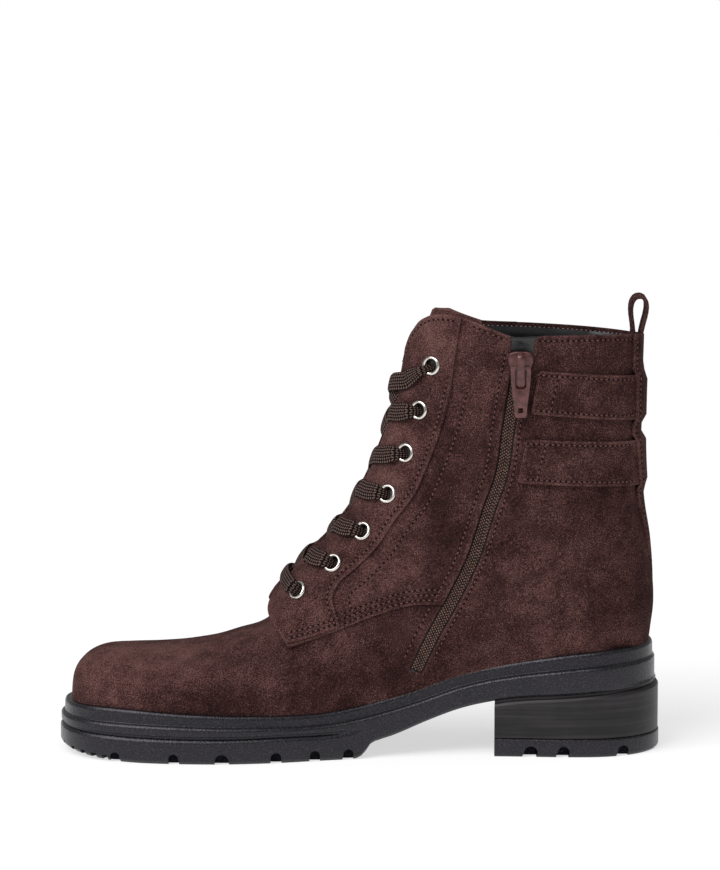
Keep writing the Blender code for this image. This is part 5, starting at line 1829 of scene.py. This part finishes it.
def slider_pieces():
    """The zip's slider with its bail, and the pull tab that swings under the bail."""
    x, z = SLIDER_PLACE
    shield = [(-2.8, 5.9), (-4.9, 5.3), (-5.8, 3.6), (-5.7, 1.0), (-4.6, -2.4), (-3.9, -5.2), (-3.6, -11.0)]
    outline = [(x + a, z + b) for a, b in shield] + [(x - a, z + b) for a, b in reversed(shield)]
    body = bevelled_plate(outline, SLIDER_FACE_Y, SLIDER_BACK_Y, 0.6)
    bail = []
    for t in np.linspace(0, math.pi, 25):
        reach = 3.5 * min(1.0, 1.9 * math.sin(t)) - 0.5
        bail.append((SLIDER_FACE_Y - reach, z - 2.6 - 7.6 * math.cos(t)))
    points, faces = [], []
    bail = np.array(bail)
    along = unit(np.gradient(bail, axis=0))
    sideways = np.stack([-along[:, 1], along[:, 0]], 1)
    for place, aside in zip(bail, sideways):
        for a, b in (
            (-1.6, -0.3), (-1.6, 0.3), (-1.2, 0.6), (1.2, 0.6), (1.6, 0.3), (1.6, -0.3), (1.2, -0.6),
            (-1.2, -0.6)
        ):
            points.append((x + a, place[0] + aside[0] * b, place[1] + aside[1] * b))
    for i in range(len(bail) - 1):
        for k in range(8):
            m = (k + 1) % 8
            faces.append((i * 8 + k, i * 8 + m, i * 8 + 8 + m, i * 8 + 8 + k))
    faces += [tuple(range(8))[::-1], tuple(len(points) - 8 + k for k in range(8))]
    slider = mesh_object("zip_slider_body", *joined([body, (points, faces)]), ZINC_FINISH, 40)
    on_boot(slider, "zip_metal", "zip_slider")

    side = [(2.8, 0.7), (4.2, 0.55), (4.8, -0.2), (4.6, -5.0), (4.0, -11.0), (3.1, -18.0),
            (2.7, 0.8 - TAB_LENGTH), (2.0, -TAB_LENGTH)]
    outline = [*side, *((-a, b) for a, b in reversed(side))]
    slot = [(2.3, -0.75), (2.45, -1.2), (2.35, -8.6), (1.7, -9.5)]
    slot = [*slot, *((-a, b) for a, b in reversed(slot))]
    eye = [
        (1.1, 4.6 - TAB_LENGTH), (1.1, 2.4 - TAB_LENGTH), (-1.1, 2.4 - TAB_LENGTH), (-1.1, 4.6 - TAB_LENGTH)
    ]
    points, faces = bevelled_plate(outline, -0.7, 0.7, 0.25, (slot, eye))
    tab = mesh_object("zip_pull", np.array(points) + TAB_AXIS, faces, ZINC_FINISH, 40)
    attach(tab, "pull_tab")
    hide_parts("zip_pull_tab")


LOOP_X = 129.4


def pull_loop_piece():
    """A folded suede band on the back of the collar: a drop-shaped loop, with a sewn row by each edge."""
    half = [
        (1.5, 190.5), (1.8, 195.5), (2.5, 200.0), (3.3, 204.0), (3.6, 207.4), (3.1, 210.4), (1.7, 212.3),
        (0, 212.7)
    ]
    rows = [*((-a, z) for a, z in half), *((a, z) for a, z in reversed(half[:-1]))]
    rows = [(LOOP_X + a + 0.06 * (z - 200), z) for a, z in rows]
    path = through(rows)
    along = unit(np.gradient(path, axis=0))
    out = np.stack([-along[:, 1], along[:, 0]], 1)
    section = [(-6.3, -0.7), (-6.5, -0.3), (-6.5, 0.3), (-6.3, 0.8), (-5.7, 0.95), (-5.1, 0.7), (-4.5, 0.95),
               (4.5, 0.95), (5.1, 0.7), (5.7, 0.95), (6.3, 0.8), (6.5, 0.3), (6.5, -0.3), (6.3, -0.7),
               (5.7, -0.9), (-5.7, -0.9)]
    points = []
    for place, direction in zip(path, out):
        points += [(place[0] + direction[0] * h, y, place[1] + direction[1] * h) for y, h in section]
    count, ring = len(path), len(section)
    faces = [tuple(range(ring))[::-1], tuple((count - 1) * ring + k for k in range(ring))]
    for i in range(count - 1):
        for k in range(ring):
            m = (k + 1) % ring
            faces.append((i * ring + k, i * ring + m, (i + 1) * ring + m, (i + 1) * ring + k))
    loop = mesh_object("heel_loop", points, faces, SUEDE_FINISH, 60)
    on_boot(give_nap_and_painted_light(loop), "suede", "pull_loop")
    rows = []
    for y in (-5.1, 5.1):
        spots = path + out * 0.75
        line = np.stack([spots[:, 0], np.full(count, y), spots[:, 1]], 1)
        rows.append((line, np.stack([out[:, 0], np.zeros(count), out[:, 1]], 1)))
    return rows


def footbed_piece():
    """The footbed: lining leather over a board, with a rounded edge."""
    phis = sole_stations(-130.0, 136.0, 90)
    levels = [
        (8.6, raised(SOLE_TOP, 0.3), 0),
        (8.2, raised(SOLE_TOP, 0.4), 0.2),
        (8.2, raised(SOLE_TOP, 2.7), 0.8),
        (9.4, raised(SOLE_TOP, 3.3), 0.5),
        (16.0, raised(SOLE_TOP, 3.2), 0),
    ]
    on_boot(sole_loft("footbed", phis, levels, LINING_FINISH), "lining", "insole")


def sewn_pieces(loop_rows):
    rows = [*loop_rows]
    for side, _ in SIDES:
        for _, line, layer, lift in SEWN[side]:
            if len(line) > 3:
                rows.append(row_on(line, layer[1] - STITCH_SINK, lift))
    rows.append(row_on(zip_rear_row(), SKIN[1] - STITCH_SINK))
    for strap in STRAPS:
        for line in strap_rows(strap):
            rows.append(row_on(line, STRAP[1] - STITCH_SINK))
            rows.append(row_on(over_back(line), STRAP[1] - STITCH_SINK))
    for line in backstay_rows(backstay_loop()):
        rows.append(row_on(line, BACKSTAY[1] - STITCH_SINK, strap_lift))
    on_boot(beads("sewn_rows", rows, STITCH_PITCH, (1.5, 0.75, 0.6), THREAD_FINISH), "lace")
    holes = [half_step(*row) for row in rows]
    on_boot(beads("needle_holes", holes, STITCH_PITCH, (1.15, 1.0, 0.5), NEEDLE_HOLE_FINISH), "lace")
    # Pale stitches inside the collar, partly painted highlight for the lit band along the lining
    rims = [collar_between(0, 200, side, 1.9) for side, _ in SIDES]
    inner = [row_on(line, LINING[0] + 0.05, lining_lift, True) for line in rims]
    on_boot(beads("lining_row", inner, 2.2, (1.25, 0.65, 0.5), PALE_THREAD_AND_HIGHLIGHT_FINISH), "lace")


eyelet_pieces()
lace_pieces()
zip_pieces()
slider_pieces()
footbed_piece()
sewn_pieces(pull_loop_piece())


def soft_light(name, place, aim, size, watts):
    lamp = bpy.data.lights.new(name, "AREA")
    lamp.shape = "RECTANGLE"
    lamp.size, lamp.size_y = size
    lamp.energy = watts
    obj = bpy.data.objects.new(name, lamp)
    bpy.context.scene.collection.objects.link(obj)
    obj.location = place
    obj.rotation_euler = (Vector(aim) - Vector(place)).to_track_quat("-Z", "Y").to_euler()


def soft_sun(name, towards, strength, angle):
    lamp = bpy.data.lights.new(name, "SUN")
    lamp.energy = strength
    lamp.angle = math.radians(angle)
    obj = bpy.data.objects.new(name, lamp)
    bpy.context.scene.collection.objects.link(obj)
    obj.rotation_euler = Vector(towards).to_track_quat("-Z", "Y").to_euler()


FLOOR_REACH = 9000


def studio():
    """A pale floor, soft light from above and the front left, and the camera at the photo's angle."""
    scene = bpy.context.scene
    scene.view_settings.view_transform = "Standard"
    paper = new_finish(
        "white_studio_paper",
        {"Base Color": linear("#bcbcbc"), "Roughness": 0.9, "Emission Color": linear("#ffffff"),
         "Emission Strength": 0.62},
    )[0]
    corners = [(x * FLOOR_REACH, y * FLOOR_REACH, 0) for x, y in ((-1, -1), (1, -1), (1, 1), (-1, 1))]
    floor = mesh_object("studio_floor", corners, [(0, 1, 2, 3)], paper)
    world = bpy.data.worlds.new("studio")
    scene.world = world
    world.use_nodes = True
    world.node_tree.nodes["Background"].inputs["Color"].default_value = (1, 1, 1, 1)
    world.node_tree.nodes["Background"].inputs["Strength"].default_value = 0.32
    soft_sun("key_left", (0.66, 0.6, -0.86), 1.9, 45)
    soft_light("strip_above", (-0.1, -1.1, 1.5), (0, 0, 0.05), (1.0, 0.25), 5)
    camera = bpy.data.cameras.new("photo_camera")
    camera.lens = 178.5
    camera.sensor_width = 36
    camera.clip_end = 50
    view = bpy.data.objects.new("photo_camera", camera)
    view.location = (0, -2.0, 0.43)
    view.rotation_euler = (math.radians(81.95), 0, 0)
    scene.collection.objects.link(view)
    scene.camera = view


studio()
